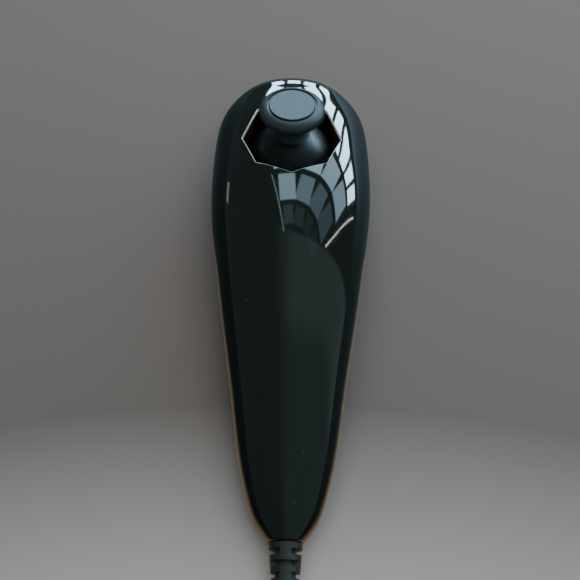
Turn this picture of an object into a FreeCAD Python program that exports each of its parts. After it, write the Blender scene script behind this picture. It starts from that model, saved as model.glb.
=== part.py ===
import FreeCAD, Part, Sketcher
import math
import os
import re
from FreeCAD import Placement, Rotation, Vector

# One-handed motion game controller: a palm-sized casing with a thumb stick in an
# eight-sided gate on top, two buttons on the nose and a cord out of the tail.
# Millimetres. X is to the right, +Y towards the nose, +Z up. The controller lies on
# its belly, and the origin is on the floor under the middle of its box.

# Sizes
# Every size that can be set by itself, by its name in the sheet.

SIZES = {
    # Casing
    "casing_length": 113.0,
    "casing_width": 38.2,
    "casing_height": 26.9,
    "wall": 1.8,
    "seam_gap": 0.12,
    "lip_wall": 0.8,
    "lip_height": 0.9,
    "fit": 0.15,
    "running_fit": 0.06,
    # Stick gate and stick
    "gate_radius": 11.55,
    "gate_wall": 1.2,
    "gate_depth": 5.6,
    "gate_bevel": 0.35,
    "stick_lean": 21.0,
    "pivot_depth": 9.0,
    "dome_radius": 10.05,
    "dome_wall": 1.0,
    "dome_skirt_angle": 64.0,
    "cap_radius": 7.65,
    "cap_top": 17.35,
    "cap_depth": 3.1,
    "cap_disc_radius": 5.35,
    "cap_groove_width": 0.6,
    "cap_groove_depth": 0.5,
    "neck_radius": 3.6,
    "shaft_radius": 1.1,
    "shaft_foot_radius": 1.6,
    "shaft_foot_depth": 4.6,
    "pin_radius": 0.5,
    "axle_radius": 0.9,
    # Stick housing
    "housing_side": 14.0,
    "housing_floor": 1.0,
    "housing_depth": 9.4,
    "ear_distance": 5.6,
    "ear_wall": 1.0,
    "ear_width": 8.0,
    "ear_height": 2.2,
    "yoke_length": 9.2,
    "yoke_width": 4.4,
    "yoke_height": 3.2,
    "arch_span": 9.6,
    "arch_width": 3.8,
    "arch_wall": 1.2,
    "arch_top": 4.8,
    "arch_slot": 6.0,
    "pot_distance": 10.2,
    "pot_thickness": 2.7,
    "pot_width": 9.6,
    "pot_height": 3.2,
    "wiper_radius": 2.8,
    "wiper_thickness": 0.9,
    "plunger_radius": 2.9,
    "plunger_thickness": 1.0,
    "plunger_clearance": 0.35,
    "plunger_hub_radius": 1.2,
    "spring_radius": 2.2,
    "spring_wire": 0.5,
    "spring_turns": 2.0,
    # Boards
    "board_thickness": 1.2,
    "socket_side": 5.6,
    "board_rear": 26.0,
    "board_front": 7.5,
    "board_half_width": 12.5,
    "board_nose_half_width": 9.6,
    "board_post_radius": 2.1,
    "board_post_side": 10.2,
    "board_post_front": 9.5,
    "board_post_rear": 23.5,
    "board_screw_radius": 0.8,
    "board_screw_head": 1.5,
    "board_screw_length": 5.0,
    # Front panel and buttons
    "panel_width": 16.6,
    "panel_height": 14.2,
    "panel_corner": 6.4,
    "panel_flange": 0.7,
    "panel_flange_wall": 1.0,
    "small_button_width": 8.6,
    "small_button_height": 3.8,
    "small_button_place": 4.4,
    "small_button_proud": 1.1,
    "small_button_travel": 1.0,
    "trigger_width": 10.6,
    "trigger_height": 6.6,
    "trigger_corner": 2.2,
    "trigger_place": 2.6,
    "trigger_proud": 1.9,
    "trigger_travel": 1.4,
    "button_gap": 0.2,
    "button_flange": 0.45,
    "button_flange_wall": 0.9,
    "button_board_depth": 6.5,
    "button_board_thickness": 1.0,
    "flex_thickness": 0.15,
    "flex_width": 6.0,
    "button_board_width": 18.4,
    "button_board_height": 12.4,
    "button_post_side": 8.05,
    "button_post_radius": 1.15,
    # Case screws
    "case_screw_front": -0.6,
    "case_screw_rear": -37.6,
    "case_screw_radius": 0.9,
    "case_screw_head": 1.9,
    "case_screw_head_height": 1.2,
    "case_screw_sink": 1.6,
    "case_screw_length": 9.0,
    "well_radius": 3.2,
    "well_height": 6.0,
    # Cord and strain relief
    "cord_diameter": 3.5,
    "cord_height": 6.0,
    "boot_length": 13.5,
    "boot_root_radius": 3.85,
    "boot_end_radius": 2.8,
    "boot_neck_radius": 3.0,
    "boot_collar_radius": 3.7,
    "boot_collar_seat": 1.0,
    "boot_collar_length": 1.8,
    "boot_slot_start": 1.4,
    "boot_slot_length": 1.3,
    "boot_slot_pitch": 2.6,
    "boot_slot_depth": 1.5,
    "boot_slot_web": 2.6,
    "jacket_inside": 3.5,
    "wire_diameter": 1.0,
    # Coil and tie
    "coil_inner_radius": 13.0,
    "coil_layer_turns": 2.0,
    "coil_layer_pairs": 2.0,
    "coil_pitch": 4.75,
    "coil_layer_step": 4.4,
    "coil_side": 5.2,
    "coil_place": -112.5,
    "tie_wall": 0.7,
    "tie_width": 7.0,
    "tie_gap": 0.15,
    # Plug
    "plug_side": -8.6,
    "plug_tail": -153.0,
    "plug_width": 19.0,
    "plug_height": 11.5,
    "plug_length": 21.0,
    "plug_wall": 1.6,
    "plug_corner": 3.0,
    "plug_boot_length": 10.0,
    "plug_boot_radius": 3.9,
    "nose_room": 0.2,
    "nose_height": 8.0,
    "nose_length": 11.0,
    "nose_wall": 0.8,
    "tongue_inset": 2.4,
    "tongue_height": 2.4,
    "tongue_short": 1.5,
    "contact_width": 1.0,
    "contact_pitch": 1.65,
    "latch_length": 12.0,
    "latch_wall": 1.5,
    "latch_height": 5.0,
    "latch_proud": 0.9,
}

doc = FreeCAD.newDocument("controller")
sheet = doc.addObject("Spreadsheet::Sheet", "Sizes")
for row, (alias, amount) in enumerate(SIZES.items(), start=1):
    sheet.set(f"A{row}", alias)
    sheet.set(f"B{row}", str(amount))
    sheet.setAlias(f"B{row}", alias)
doc.recompute()


def size(alias):
    return float(sheet.get(alias))


# Building helpers

def formula(text):
    """A size formula with the sheet's name put before each alias."""
    def name(word):
        if word.group() in SIZES:
            return "Sizes." + word.group()
        return word.group()
    return re.sub(r"[a-z_]+", name, str(text))


def bind(item, prop, text):
    item.setExpression(prop, formula(text))


def place(item, at):
    for axis, text in zip("xyz", at):
        bind(item, f".Placement.Base.{axis}", text)


def block(x0, x1, y0, y1, z0, z1):
    """A box between six size formulas."""
    item = doc.addObject("Part::Box", "block")
    bind(item, "Length", f"({x1}) - ({x0})")
    bind(item, "Width", f"({y1}) - ({y0})")
    bind(item, "Height", f"({z1}) - ({z0})")
    place(item, (x0, y0, z0))
    return item


TURNS = {
    "z": Rotation(),
    "x": Rotation(Vector(0, 1, 0), 90),
    "y": Rotation(Vector(1, 0, 0), -90),
}


def rod(radius, start, end, across=("0", "0"), along="z"):
    """A round bar along one axis, between two places on that axis."""
    item = doc.addObject("Part::Cylinder", "rod")
    bind(item, "Radius", radius)
    bind(item, "Height", f"({end}) - ({start})")
    item.Placement = Placement(Vector(), TURNS[along])
    at = {"x": (start, *across), "y": (across[0], start, across[1]), "z": (*across, start)}
    place(item, at[along])
    return item


def taper(radius_start, radius_end, start, end, across=("0", "0"), along="z"):
    item = doc.addObject("Part::Cone", "taper")
    bind(item, "Radius1", radius_start)
    bind(item, "Radius2", radius_end)
    bind(item, "Height", f"({end}) - ({start})")
    item.Placement = Placement(Vector(), TURNS[along])
    at = {"x": (start, *across), "y": (across[0], start, across[1]), "z": (*across, start)}
    place(item, at[along])
    return item


def join(*items):
    fuse = doc.addObject("Part::MultiFuse", "join")
    fuse.Shapes = list(items)
    fuse.Refine = True
    return fuse


def group(*items):
    pack = doc.addObject("Part::Compound", "group")
    pack.Links = list(items)
    return pack


def less(base, *tools):
    """The base with the tools taken out of it."""
    cut = doc.addObject("Part::Cut", "cut")
    cut.Base = base
    cut.Tool = tools[0] if len(tools) == 1 else join(*tools)
    cut.Refine = True
    return cut


def fixed(shape):
    """A shape made with Part's own functions, held as a feature."""
    item = doc.addObject("Part::Feature", "shape")
    item.Shape = shape
    return item


def soften(item, radius, choose):
    """Rounds the edges that choose() picks."""
    doc.recompute()
    rounded = doc.addObject("Part::Fillet", "rounded")
    rounded.Base = item
    picked = [n for n, edge in enumerate(item.Shape.Edges, start=1) if choose(edge)]
    rounded.Edges = [(n, radius, radius) for n in picked]
    return rounded


def runs_along(edge, axis):
    ends = edge.Vertexes
    if len(ends) < 2 or not isinstance(edge.Curve, (Part.Line, Part.LineSegment)):
        return False
    step = ends[1].Point - ends[0].Point
    return abs(step.dot(axis)) > 0.999 * step.Length


NODES = {}


def node(name, item, frame=None):
    """Names a finished sub-part and puts it in its place."""
    if item.TypeId in ("Part::Box", "Part::Cylinder", "Part::Cone"):
        item = group(item)
    item.Label = name
    if frame is not None:
        item.Placement = frame.multiply(item.Placement)
    NODES[name] = item
    return item


# Casing shape
# Cross-sections of the casing from tail to nose: the top point (y, z), the bottom
# point (y, z) and the half width, as drawn for a casing 113.0 x 38.2 x 26.9.

STATIONS = [
    ("tail_end", -56.95, 10.15, -56.95, 1.95, 4.05),
    ("tail_round", -53.6, 12.1, -53.6, 0.45, 6.65),
    ("tail", -48.55, 14.16, -48.55, 0.06, 8.75),
    ("rear", -39.55, 16.76, -39.55, 0.16, 10.9),
    ("grip", -25.55, 20.26, -25.55, 1.16, 12.9),
    ("palm", -7.55, 24.36, -7.55, 2.56, 15.5),
    ("waist", 9.45, 26.96, 8.45, 3.36, 17.7),
    ("shoulder", 24.45, 26.86, 19.45, 2.56, 18.95),
    ("gate", 36.45, 24.26, 28.45, 0.71, 18.95),
    ("brow", 46.45, 20.96, 36.45, 0.00, 18.3),
    ("front", 52.25, 18.66, 41.45, 0.08, 16.1),
    ("lip", 55.35, 16.86, 44.65, 0.48, 11.9),
    ("face", 56.05, 15.36, 45.85, 1.28, 10.0),
]
DRAWN_LENGTH = 113.0
DRAWN_WIDTH = 38.2
DRAWN_HEIGHT = 26.9
# How square the sections are, where their widest line lies, and the seam above it.
SQUARENESS = 0.03
WAIST_LEVEL = 0.46
SEAM_LEVEL = 0.53
SECTION_POINTS = 24

along = size("casing_length") / DRAWN_LENGTH
across = size("casing_width") / DRAWN_WIDTH
upward = size("casing_height") / DRAWN_HEIGHT

stations = {}
for name, y_top, z_top, y_low, z_low, half_width in STATIONS:
    top = Vector(0, y_top * along, z_top * upward)
    low = Vector(0, y_low * along, z_low * upward)
    stations[name] = (top, low, half_width * across)

face_top, face_low = stations["face"][:2]
face_up = (face_top - face_low).normalize()
face_out = Vector(0, face_up.z, -face_up.y)
face_middle = (face_top + face_low) * 0.5
face_turn = math.degrees(math.atan2(face_up.z, face_up.y))
# Face frame: x to the right, y up the face, z into the casing.
FACE = Placement(face_middle, Rotation(Vector(1, 0, 0), face_turn))

gate_top = stations["gate"][0]
stick_axis = Rotation(Vector(1, 0, 0), -size("stick_lean")).multVec(Vector(0, 0, 1))
pivot = gate_top - stick_axis * size("pivot_depth")
# Stick frame: origin at the stick's pivot, z along the stick, y towards the nose.
STICK = Placement(pivot, Rotation(Vector(1, 0, 0), -size("stick_lean")))


def section(station, inset, move=Vector()):
    """A closed rounded outline of the casing, drawn in by the inset."""
    top, low, half_width = station
    up = (top - low).normalize()
    middle = low + (top - low) * WAIST_LEVEL
    rise = (top - middle).Length - inset
    drop = (middle - low).Length - inset
    points = []
    for step in range(SECTION_POINTS):
        angle = 2 * math.pi * step / SECTION_POINTS
        side = (math.cos(angle) - SQUARENESS * math.cos(3 * angle)) / (1 - SQUARENESS)
        lift = (math.sin(angle) + SQUARENESS * math.sin(3 * angle)) / (1 - SQUARENESS)
        reach = rise if lift > 0 else drop
        points.append(middle + move + Vector(side * (half_width - inset), 0, 0) + up * (lift * reach))
    curve = Part.BSplineCurve()
    curve.interpolate(points, PeriodicFlag=True)
    return Part.Wire(curve.toShape())


def casing_body(inset):
    """The casing as a solid, drawn in by the inset on every side."""
    outlines = []
    for name, station in stations.items():
        if inset == 0:
            outlines.append(section(station, 0))
        elif name == "tail_end":
            outlines.append(section(station, inset, Vector(0, inset, 0)))
        elif name == "lip":
            outlines.append(section(station, inset, face_out * (1.0 - inset)))
        elif name not in ("tail_round", "face"):
            outlines.append(section(station, inset))
    return Part.makeLoft(outlines, True, False)


def seam_point(station):
    top, low, half_width = station
    return low + (top - low) * SEAM_LEVEL


def below_seam(lift):
    """Everything under the seam, raised by the lift."""
    line = [seam_point(station) for station in stations.values()]
    line.insert(0, line[0] - Vector(0, 20, 0))
    line.append(line[-1] + face_out * 20)
    line = [point + Vector(0, 0, lift) for point in line]
    curve = Part.BSplineCurve()
    curve.interpolate(line)
    start = line[0]
    end = line[-1]
    deep_start = Vector(0, start.y, -40)
    deep_end = Vector(0, end.y, -40)
    edges = [
        curve.toShape(),
        Part.makeLine(end, deep_end),
        Part.makeLine(deep_end, deep_start),
        Part.makeLine(deep_start, start),
    ]
    face = Part.Face(Part.Wire(edges))
    reach = size("casing_width")
    face.translate(Vector(-reach, 0, 0))
    return face.extrude(Vector(2 * reach, 0, 0))


def octagon(radius, low, high):
    """An eight-sided prism round the stick's axis, corners at the compass points."""
    corners = []
    for step in range(9):
        angle = math.radians(45 * step)
        corners.append(Vector(radius * math.cos(angle), radius * math.sin(angle), low))
    prism = Part.Face(Part.makePolygon(corners)).extrude(Vector(0, 0, high - low))
    prism.Placement = STICK
    return prism


def rounded_outline(width, height, corner, depth_from, depth_to, y_place=0):
    """A rounded rectangle as a prism in the face frame."""
    x = width / 2 - corner
    y = height / 2 - corner
    diagonal = corner * math.sqrt(0.5)
    edges = []
    spots = [(x, y, 1, 1), (-x, y, -1, 1), (-x, -y, -1, -1), (x, -y, 1, -1)]
    ends = []
    for cx, cy, sx, sy in spots:
        first = Vector(cx + corner * (sx if sx == sy else 0), cy + corner * (0 if sx == sy else sy), 0)
        last = Vector(cx + corner * (0 if sx == sy else sx), cy + corner * (sy if sx == sy else 0), 0)
        middle = Vector(cx + sx * diagonal, cy + sy * diagonal, 0)
        edges.append(Part.Arc(first, middle, last).toShape())
        ends.append((first, last))
    for n in range(4):
        start = ends[n][1]
        end = ends[(n + 1) % 4][0]
        if (end - start).Length > 1e-6:
            edges.append(Part.makeLine(start, end))
    wire = Part.Wire(Part.__sortEdges__(edges))
    prism = Part.Face(wire).extrude(Vector(0, 0, depth_to - depth_from))
    prism.translate(Vector(0, y_place, depth_from))
    return prism


def in_frame(shape, frame):
    moved = shape.copy()
    moved.Placement = frame.multiply(moved.Placement)
    return moved


wall = size("wall")
fit = size("fit")
outer_body = casing_body(0)
inner_body = casing_body(wall)
shell = outer_body.cut(inner_body)

panel_hole = in_frame(rounded_outline(
    size("panel_width") + 2 * fit, size("panel_height") + 2 * fit,
    size("panel_corner") + fit, -4, wall + 1.5), FACE)
tail_end_y = stations["tail_end"][0].y
boot_hole = Part.makeCylinder(
    size("boot_neck_radius") + fit, wall * 3,
    Vector(0, tail_end_y - wall, size("cord_height")), Vector(0, 1, 0))

# The seam lip stands on the inner half of the lower wall.
lip_outside = wall - size("lip_wall")
lip_ring = casing_body(lip_outside).cut(inner_body)
lip_zone = below_seam(size("lip_height")).cut(below_seam(-wall))
lip = lip_ring.common(lip_zone)
lip_room = casing_body(lip_outside - fit).common(below_seam(size("lip_height") + fit))

# Screw wells stand on the belly, and towers come down to them from the top.
screw_places = [size("case_screw_front"), size("case_screw_rear")]
probe_reach = 3 * size("casing_height")


def surface_height(body, x, y, upper):
    """The height at which an upright line leaves a body."""
    line = Part.makeLine(Vector(x, y, -probe_reach), Vector(x, y, probe_reach))
    ends = [vertex.Z for vertex in line.common(body).Vertexes]
    return max(ends) if upper else min(ends)


lower_adds = [lip]
lower_cuts = [panel_hole, boot_hole]
upper_adds = []
upper_cuts = [panel_hole, boot_hole]
for y in screw_places:
    belly = surface_height(outer_body, 0, y, False)
    ceiling = surface_height(outer_body, 0, y, True)
    seat = belly + size("case_screw_sink") + size("case_screw_head_height")
    well_top = seat + size("well_height")
    well_radius = size("well_radius")
    well = Part.makeCylinder(well_radius, well_top - belly, Vector(0, y, belly))
    tower = Part.makeCylinder(well_radius - 0.4, ceiling - well_top, Vector(0, y, well_top + fit))
    lower_adds.append(well.common(outer_body))
    upper_adds.append(tower.common(outer_body))
    head_room = size("case_screw_head") + fit
    lower_cuts.append(Part.makeCylinder(head_room, seat - belly + 5, Vector(0, y, belly - 5)))
    bore = size("case_screw_radius") + fit
    lower_cuts.append(Part.makeCylinder(bore, well_top - belly + 1, Vector(0, y, belly)))
    pilot = size("case_screw_radius") + 0.02
    upper_cuts.append(Part.makeCylinder(pilot, size("case_screw_length"), Vector(0, y, well_top - 1)))

# Board posts come down from the top to the main board.
board_top = -size("housing_depth") - 0.2
post_places = [
    (size("board_post_side"), -size("board_post_front")),
    (-size("board_post_side"), -size("board_post_front")),
    (0, -size("board_post_rear")),
]
for x, y in post_places:
    post = Part.makeCylinder(size("board_post_radius"), size("casing_height"), Vector(x, y, board_top))
    upper_adds.append(in_frame(post, STICK).common(outer_body))
    pilot = size("board_screw_radius") + 0.02
    hole = Part.makeCylinder(pilot, size("board_screw_length") + 0.5, Vector(x, y, board_top - 1))
    upper_cuts.append(in_frame(hole, STICK))

# The gate: an eight-sided wall round the hole, with a narrow step along its rim.
gate_low = size("pivot_depth") - size("gate_depth")
gate_top_reach = size("casing_height")
skirt = octagon(size("gate_radius") + size("gate_wall"), gate_low, gate_top_reach)
board_zone = Part.makeBox(60, 60, size("button_board_depth") + size("button_board_thickness") + 0.4,
                          Vector(-30, -30, 0))
upper_adds.append(skirt.common(outer_body).cut(in_frame(board_zone, FACE)))
upper_cuts.append(octagon(size("gate_radius"), gate_low - 1, gate_top_reach))
rim_step = size("gate_bevel")
rim_zone = octagon(size("gate_radius") + rim_step, gate_low, gate_top_reach)
upper_cuts.append(rim_zone.cut(casing_body(rim_step)))

lower_shell = shell.common(below_seam(0)).fuse(lower_adds).cut(lower_cuts)
upper_shell = shell.cut(below_seam(size("seam_gap"))).cut(lip_room).fuse(upper_adds).cut(upper_cuts)

node("upper_casing", fixed(upper_shell))
node("lower_casing", fixed(lower_shell))
print("casing solids", len(upper_shell.Solids), len(lower_shell.Solids))

screws = []
for y in screw_places:
    belly = surface_height(outer_body, 0, y, False)
    head_low = belly + size("case_screw_sink")
    head = rod("case_screw_head", "0", "case_screw_head_height")
    shank = rod("case_screw_radius", "case_screw_head_height", "case_screw_head_height + case_screw_length")
    slot = block("-case_screw_head * 0.7", "case_screw_head * 0.7", "-0.3", "0.3", "-0.1", "0.5")
    cross = block("-0.3", "0.3", "-case_screw_head * 0.7", "case_screw_head * 0.7", "-0.1", "0.5")
    screw = less(join(head, shank), slot, cross)
    screw.Placement = Placement(Vector(0, y, head_low), Rotation())
    screws.append(screw)
node("case_screws", group(*screws))


# Thumb stick
# All pieces here are drawn in the stick frame.

def turned(points):
    """A solid of revolution about the stick's axis, from a closed outline in x and z."""
    edges = []
    for start, end in zip(points, points[1:] + points[:1]):
        if len(end) == 3:
            edges.append(Part.Arc(Vector(start[0], 0, start[1]), Vector(*end[2]),
                                  Vector(end[0], 0, end[1])).toShape())
        else:
            edges.append(Part.makeLine(Vector(start[0], 0, start[1]), Vector(end[0], 0, end[1])))
    face = Part.Face(Part.Wire(edges))
    return face.revolve(Vector(), Vector(0, 0, 1), 360)


cap_radius = size("cap_radius")
cap_top = size("cap_top")
cap_low = cap_top - size("cap_depth")
disc = size("cap_disc_radius")
groove = disc + size("cap_groove_width")
dome = size("dome_radius")
neck = size("neck_radius")
neck_foot = neck + 0.9
neck_foot_height = math.sqrt((dome + 0.08) ** 2 - neck_foot ** 2)
shaft = size("shaft_radius")
bore_top = cap_top - 2.6
brim = cap_radius - 0.25
# A flat disc inside a groove; outside it the cap slopes down to a rounded brim.
cap_outline = [
    (0, cap_top),
    (disc - 0.15, cap_top),
    (disc, cap_top - 0.15),
    (disc, cap_top - size("cap_groove_depth")),
    (groove, cap_top - size("cap_groove_depth")),
    (groove, cap_top - 0.12),
    (brim, cap_top - 1.05, ((groove + brim) / 2, 0, cap_top - 0.42)),
    (cap_radius, cap_top - 1.75, (cap_radius - 0.05, 0, cap_top - 1.38)),
    (cap_radius - 0.6, cap_low + 0.1, (cap_radius - 0.12, 0, cap_low + 0.5)),
    (neck + 0.8, cap_low - 0.2, ((cap_radius + neck) / 2, 0, cap_low - 0.02)),
    (neck, cap_low - 2.2, (neck + 0.12, 0, cap_low - 1.0)),
    (neck_foot, neck_foot_height, (neck + 0.14, 0, (cap_low - 2.2 + neck_foot_height) / 2 - 0.5)),
    (shaft + 0.04, dome + 0.08, (2.8, 0, math.sqrt((dome + 0.08) ** 2 - 2.8 ** 2))),
    (shaft + 0.04, bore_top),
    (0, bore_top),
]
node("stick_cap", fixed(turned(cap_outline)), STICK)

skirt = math.radians(size("dome_skirt_angle"))
inside = dome - size("dome_wall")
dome_outline = [
    (shaft + 0.03, math.sqrt(dome ** 2 - (shaft + 0.03) ** 2)),
    (dome * math.sin(skirt), dome * math.cos(skirt),
     (dome * math.sin(skirt / 2), 0, dome * math.cos(skirt / 2))),
    (inside * math.sin(skirt), inside * math.cos(skirt)),
    (2.4, math.sqrt(inside ** 2 - 2.4 ** 2),
     (inside * math.sin(skirt * 0.62), 0, inside * math.cos(skirt * 0.62))),
    (2.4, 6.3),
    (shaft + 0.03, 6.3),
]
node("stick_dome", fixed(turned(dome_outline)), STICK)

stick_bar = join(
    rod("shaft_radius", "-shaft_foot_depth", "cap_top - 3.9"),
    rod("shaft_foot_radius", "-shaft_foot_depth", "-shaft_foot_depth + 0.9"))
node("stick_shaft", less(stick_bar, rod("pin_radius + running_fit", "-shaft_radius - 1", "shaft_radius + 1",
                                        ("0", "0"), "y")), STICK)
node("stick_pin", rod("pin_radius", "-yoke_width / 2", "yoke_width / 2", ("0", "0"), "y"), STICK)

# The lower rocker turns about x and carries the stick on its cross pin.
yoke = less(
    join(block("-yoke_length / 2", "yoke_length / 2", "-yoke_width / 2", "yoke_width / 2",
               "-yoke_height / 2", "yoke_height / 2"),
         rod("axle_radius", "-ear_distance - ear_wall - 0.3", "pot_distance + 1.6", ("0", "0"), "x")),
    block("-shaft_radius - 1.1", "shaft_radius + 1.1", "-shaft_radius - 0.12", "shaft_radius + 0.12",
          "-yoke_height", "yoke_height"),
    rod("pin_radius + 0.01", "-yoke_width", "yoke_width", ("0", "0"), "y"))
node("tilt_rocker", yoke, STICK)

# The upper rocker turns about y, and the stick slides in its slot.
arch = join(
    block("-arch_width / 2", "arch_width / 2", "-arch_span / 2", "-arch_span / 2 + arch_wall", "-1.6", "arch_top"),
    block("-arch_width / 2", "arch_width / 2", "arch_span / 2 - arch_wall", "arch_span / 2", "-1.6", "arch_top"),
    block("-arch_width / 2", "arch_width / 2", "-arch_span / 2", "arch_span / 2",
          "arch_top - arch_wall - 0.2", "arch_top"),
    rod("axle_radius", "arch_span / 2 - arch_wall / 2", "ear_distance + ear_wall + 0.3", ("0", "0"), "y"),
    rod("axle_radius", "-pot_distance - 1.6", "-arch_span / 2 + arch_wall / 2", ("0", "0"), "y"))
node("side_rocker", less(arch, block("-shaft_radius - 0.15", "shaft_radius + 0.15", "-arch_slot / 2",
                                     "arch_slot / 2", "arch_top - 3 * arch_wall", "arch_top + 1")), STICK)

ears = []
for along_axis in ("x", "y"):
    for side in ("", "-"):
        near = f"{side}ear_distance"
        far = f"{side}(ear_distance + ear_wall)"
        low, high = (near, far) if side == "" else (far, near)
        if along_axis == "x":
            ears.append(block(low, high, "-ear_width / 2", "ear_width / 2", "-housing_depth", "ear_height"))
        else:
            ears.append(block("-ear_width / 2", "ear_width / 2", low, high, "-housing_depth", "ear_height"))
floor = join(
    block("-housing_side / 2", "housing_side / 2", "-housing_side / 2", "housing_side / 2",
          "-housing_depth", "-housing_depth + housing_floor"),
    block("0", "pot_distance + pot_thickness", "-pot_width / 2", "pot_width / 2",
          "-housing_depth", "-housing_depth + housing_floor"),
    block("-pot_width / 2", "pot_width / 2", "-pot_distance - pot_thickness", "0",
          "-housing_depth", "-housing_depth + housing_floor"))
guide = less(rod("plunger_radius + 1.1", "-housing_depth", "-shaft_foot_depth - plunger_clearance - 0.4"),
             rod("plunger_radius + fit", "-housing_depth + housing_floor", "0"))
housing = less(join(floor, guide, *ears),
               rod("axle_radius + running_fit", "-housing_side", "housing_side", ("0", "0"), "x"),
               rod("axle_radius + running_fit", "-housing_side", "housing_side", ("0", "0"), "y"))
node("stick_housing", housing, STICK)


def potentiometer(name, along_axis, side):
    """A resistor case beside the housing and the wiper on its rocker's axle."""
    near = "pot_distance"
    far = "pot_distance + pot_thickness"
    room_near = "pot_distance + 0.5"
    room_far = "pot_distance + 0.5 + wiper_thickness + 2 * fit"
    wiper_near = "pot_distance + 0.5 + fit"
    wiper_far = "pot_distance + 0.5 + fit + wiper_thickness"
    low = "-housing_depth + housing_floor"
    if side < 0:
        near, far = f"-({far})", f"-{near}"
        room_near, room_far = f"-({room_far})", f"-({room_near})"
        wiper_near, wiper_far = f"-({wiper_far})", f"-({wiper_near})"
    if along_axis == "x":
        case = block(near, far, "-pot_width / 2", "pot_width / 2", low, "pot_height")
    else:
        case = block("-pot_width / 2", "pot_width / 2", near, far, low, "pot_height")
    room = rod("wiper_radius + fit", room_near, room_far, ("0", "0"), along_axis)
    mouth = rod("axle_radius + fit", near if side > 0 else room_near, room_far if side > 0 else far,
                ("0", "0"), along_axis)
    tip = rod("axle_radius + fit", f"{side} * (pot_distance + 1) - 0.9", f"{side} * (pot_distance + 1) + 0.9",
              ("0", "0"), along_axis)
    node(f"{name}_body", less(case, room, mouth, tip), STICK)
    wiper = less(rod("wiper_radius", wiper_near, wiper_far, ("0", "0"), along_axis),
                 rod("axle_radius + 0.01", wiper_near, wiper_far, ("0", "0"), along_axis),
                 block("-wiper_radius", "wiper_radius", "-wiper_radius", "wiper_radius",
                       "-wiper_radius - 1", "-axle_radius - 1"))
    node(f"{name}_wiper", wiper, STICK)


potentiometer("tilt_sensor", "x", 1)
potentiometer("side_sensor", "y", -1)

plunger_top = "-shaft_foot_depth - plunger_clearance"
plunger = join(
    rod("plunger_radius", f"{plunger_top} - plunger_thickness", plunger_top),
    rod("plunger_hub_radius", f"{plunger_top} - plunger_thickness - 1", f"{plunger_top} - plunger_thickness"))
node("return_plunger", plunger, STICK)

spring_low = -size("housing_depth") + size("housing_floor") + 0.03
spring_high = -size("shaft_foot_depth") - size("plunger_clearance") - size("plunger_thickness") - 0.03
wire = size("spring_wire")
rise = spring_high - spring_low - wire
turns = size("spring_turns")
rings = []
for step in range(int(16 * turns) + 1):
    angle = 2 * math.pi * step / 16
    out = Vector(math.cos(angle), math.sin(angle), 0)
    along = Vector(-math.sin(angle), math.cos(angle), 0) * (2 * math.pi * size("spring_radius"))
    centre = out * size("spring_radius") + Vector(0, 0, spring_low + wire / 2 + rise * step / (16 * turns))
    rings.append(Part.Wire(Part.makeCircle(wire / 2, centre, along + Vector(0, 0, rise / turns))))
spring = Part.makeLoft(rings, True, False)
print("spring gap between turns", round(rise / turns - wire, 2))
node("return_spring", fixed(spring), STICK)


# Main board and what it carries

def flat_body(name, outline, thickness, low, holes=()):
    """A flat piece: a sketch of straight lines with round holes, padded upwards."""
    body = doc.addObject("PartDesign::Body", name)
    plane = [item for item in body.Origin.OriginFeatures if item.Role == "XY_Plane"][0]
    sketch = body.newObject("Sketcher::SketchObject", name + "_outline")
    sketch.AttachmentSupport = [(plane, "")]
    sketch.MapMode = "FlatFace"
    count = len(outline)
    for n in range(count):
        start = Vector(2.0 * math.cos(2 * math.pi * n / count), 2.0 * math.sin(2 * math.pi * n / count), 0)
        end = Vector(2.0 * math.cos(2 * math.pi * (n + 1) / count), 2.0 * math.sin(2 * math.pi * (n + 1) / count), 0)
        sketch.addGeometry(Part.LineSegment(start, end))
    Constraint = Sketcher.Constraint
    for n in range(count):
        sketch.addConstraint(Constraint("Coincident", n, 2, (n + 1) % count, 1))
    for n, (x, y) in enumerate(outline):
        for kind, text in (("DistanceX", x), ("DistanceY", y)):
            index = sketch.addConstraint(Constraint(kind, -1, 1, n, 1, 1.0))
            sketch.setExpression(f"Constraints[{index}]", formula(text))
    for radius, x, y in holes:
        circle = sketch.addGeometry(Part.Circle(Vector(0, 0, 0), Vector(0, 0, 1), 0.5))
        index = sketch.addConstraint(Constraint("Radius", circle, 0.5))
        sketch.setExpression(f"Constraints[{index}]", formula(radius))
        for kind, text in (("DistanceX", x), ("DistanceY", y)):
            index = sketch.addConstraint(Constraint(kind, -1, 1, circle, 3, 0.0))
            sketch.setExpression(f"Constraints[{index}]", formula(text))
    sketch.AttachmentOffset = Placement(Vector(0, 0, 0), Rotation())
    bind(sketch, ".AttachmentOffset.Base.z", low)
    pad = body.newObject("PartDesign::Pad", name + "_pad")
    pad.Profile = sketch
    bind(pad, "Length", thickness)
    doc.recompute()
    return body


board_level = "-housing_depth - 0.2 - board_thickness"
board_outline = [
    ("-board_nose_half_width", "board_front"),
    ("-board_half_width", "board_front - 8"),
    ("-board_half_width", "-board_rear + 6"),
    ("-board_half_width + 4", "-board_rear"),
    ("board_half_width - 4", "-board_rear"),
    ("board_half_width", "-board_rear + 6"),
    ("board_half_width", "board_front - 8"),
    ("board_nose_half_width", "board_front"),
]
screw_hole = "board_screw_radius + fit"
board = flat_body("main_board", board_outline, "board_thickness", board_level, [
    (screw_hole, "board_post_side", "-board_post_front"),
    (screw_hole, "-board_post_side", "-board_post_front"),
    (screw_hole, "0", "-board_post_rear"),
])
node("main_board", board, STICK)

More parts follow.
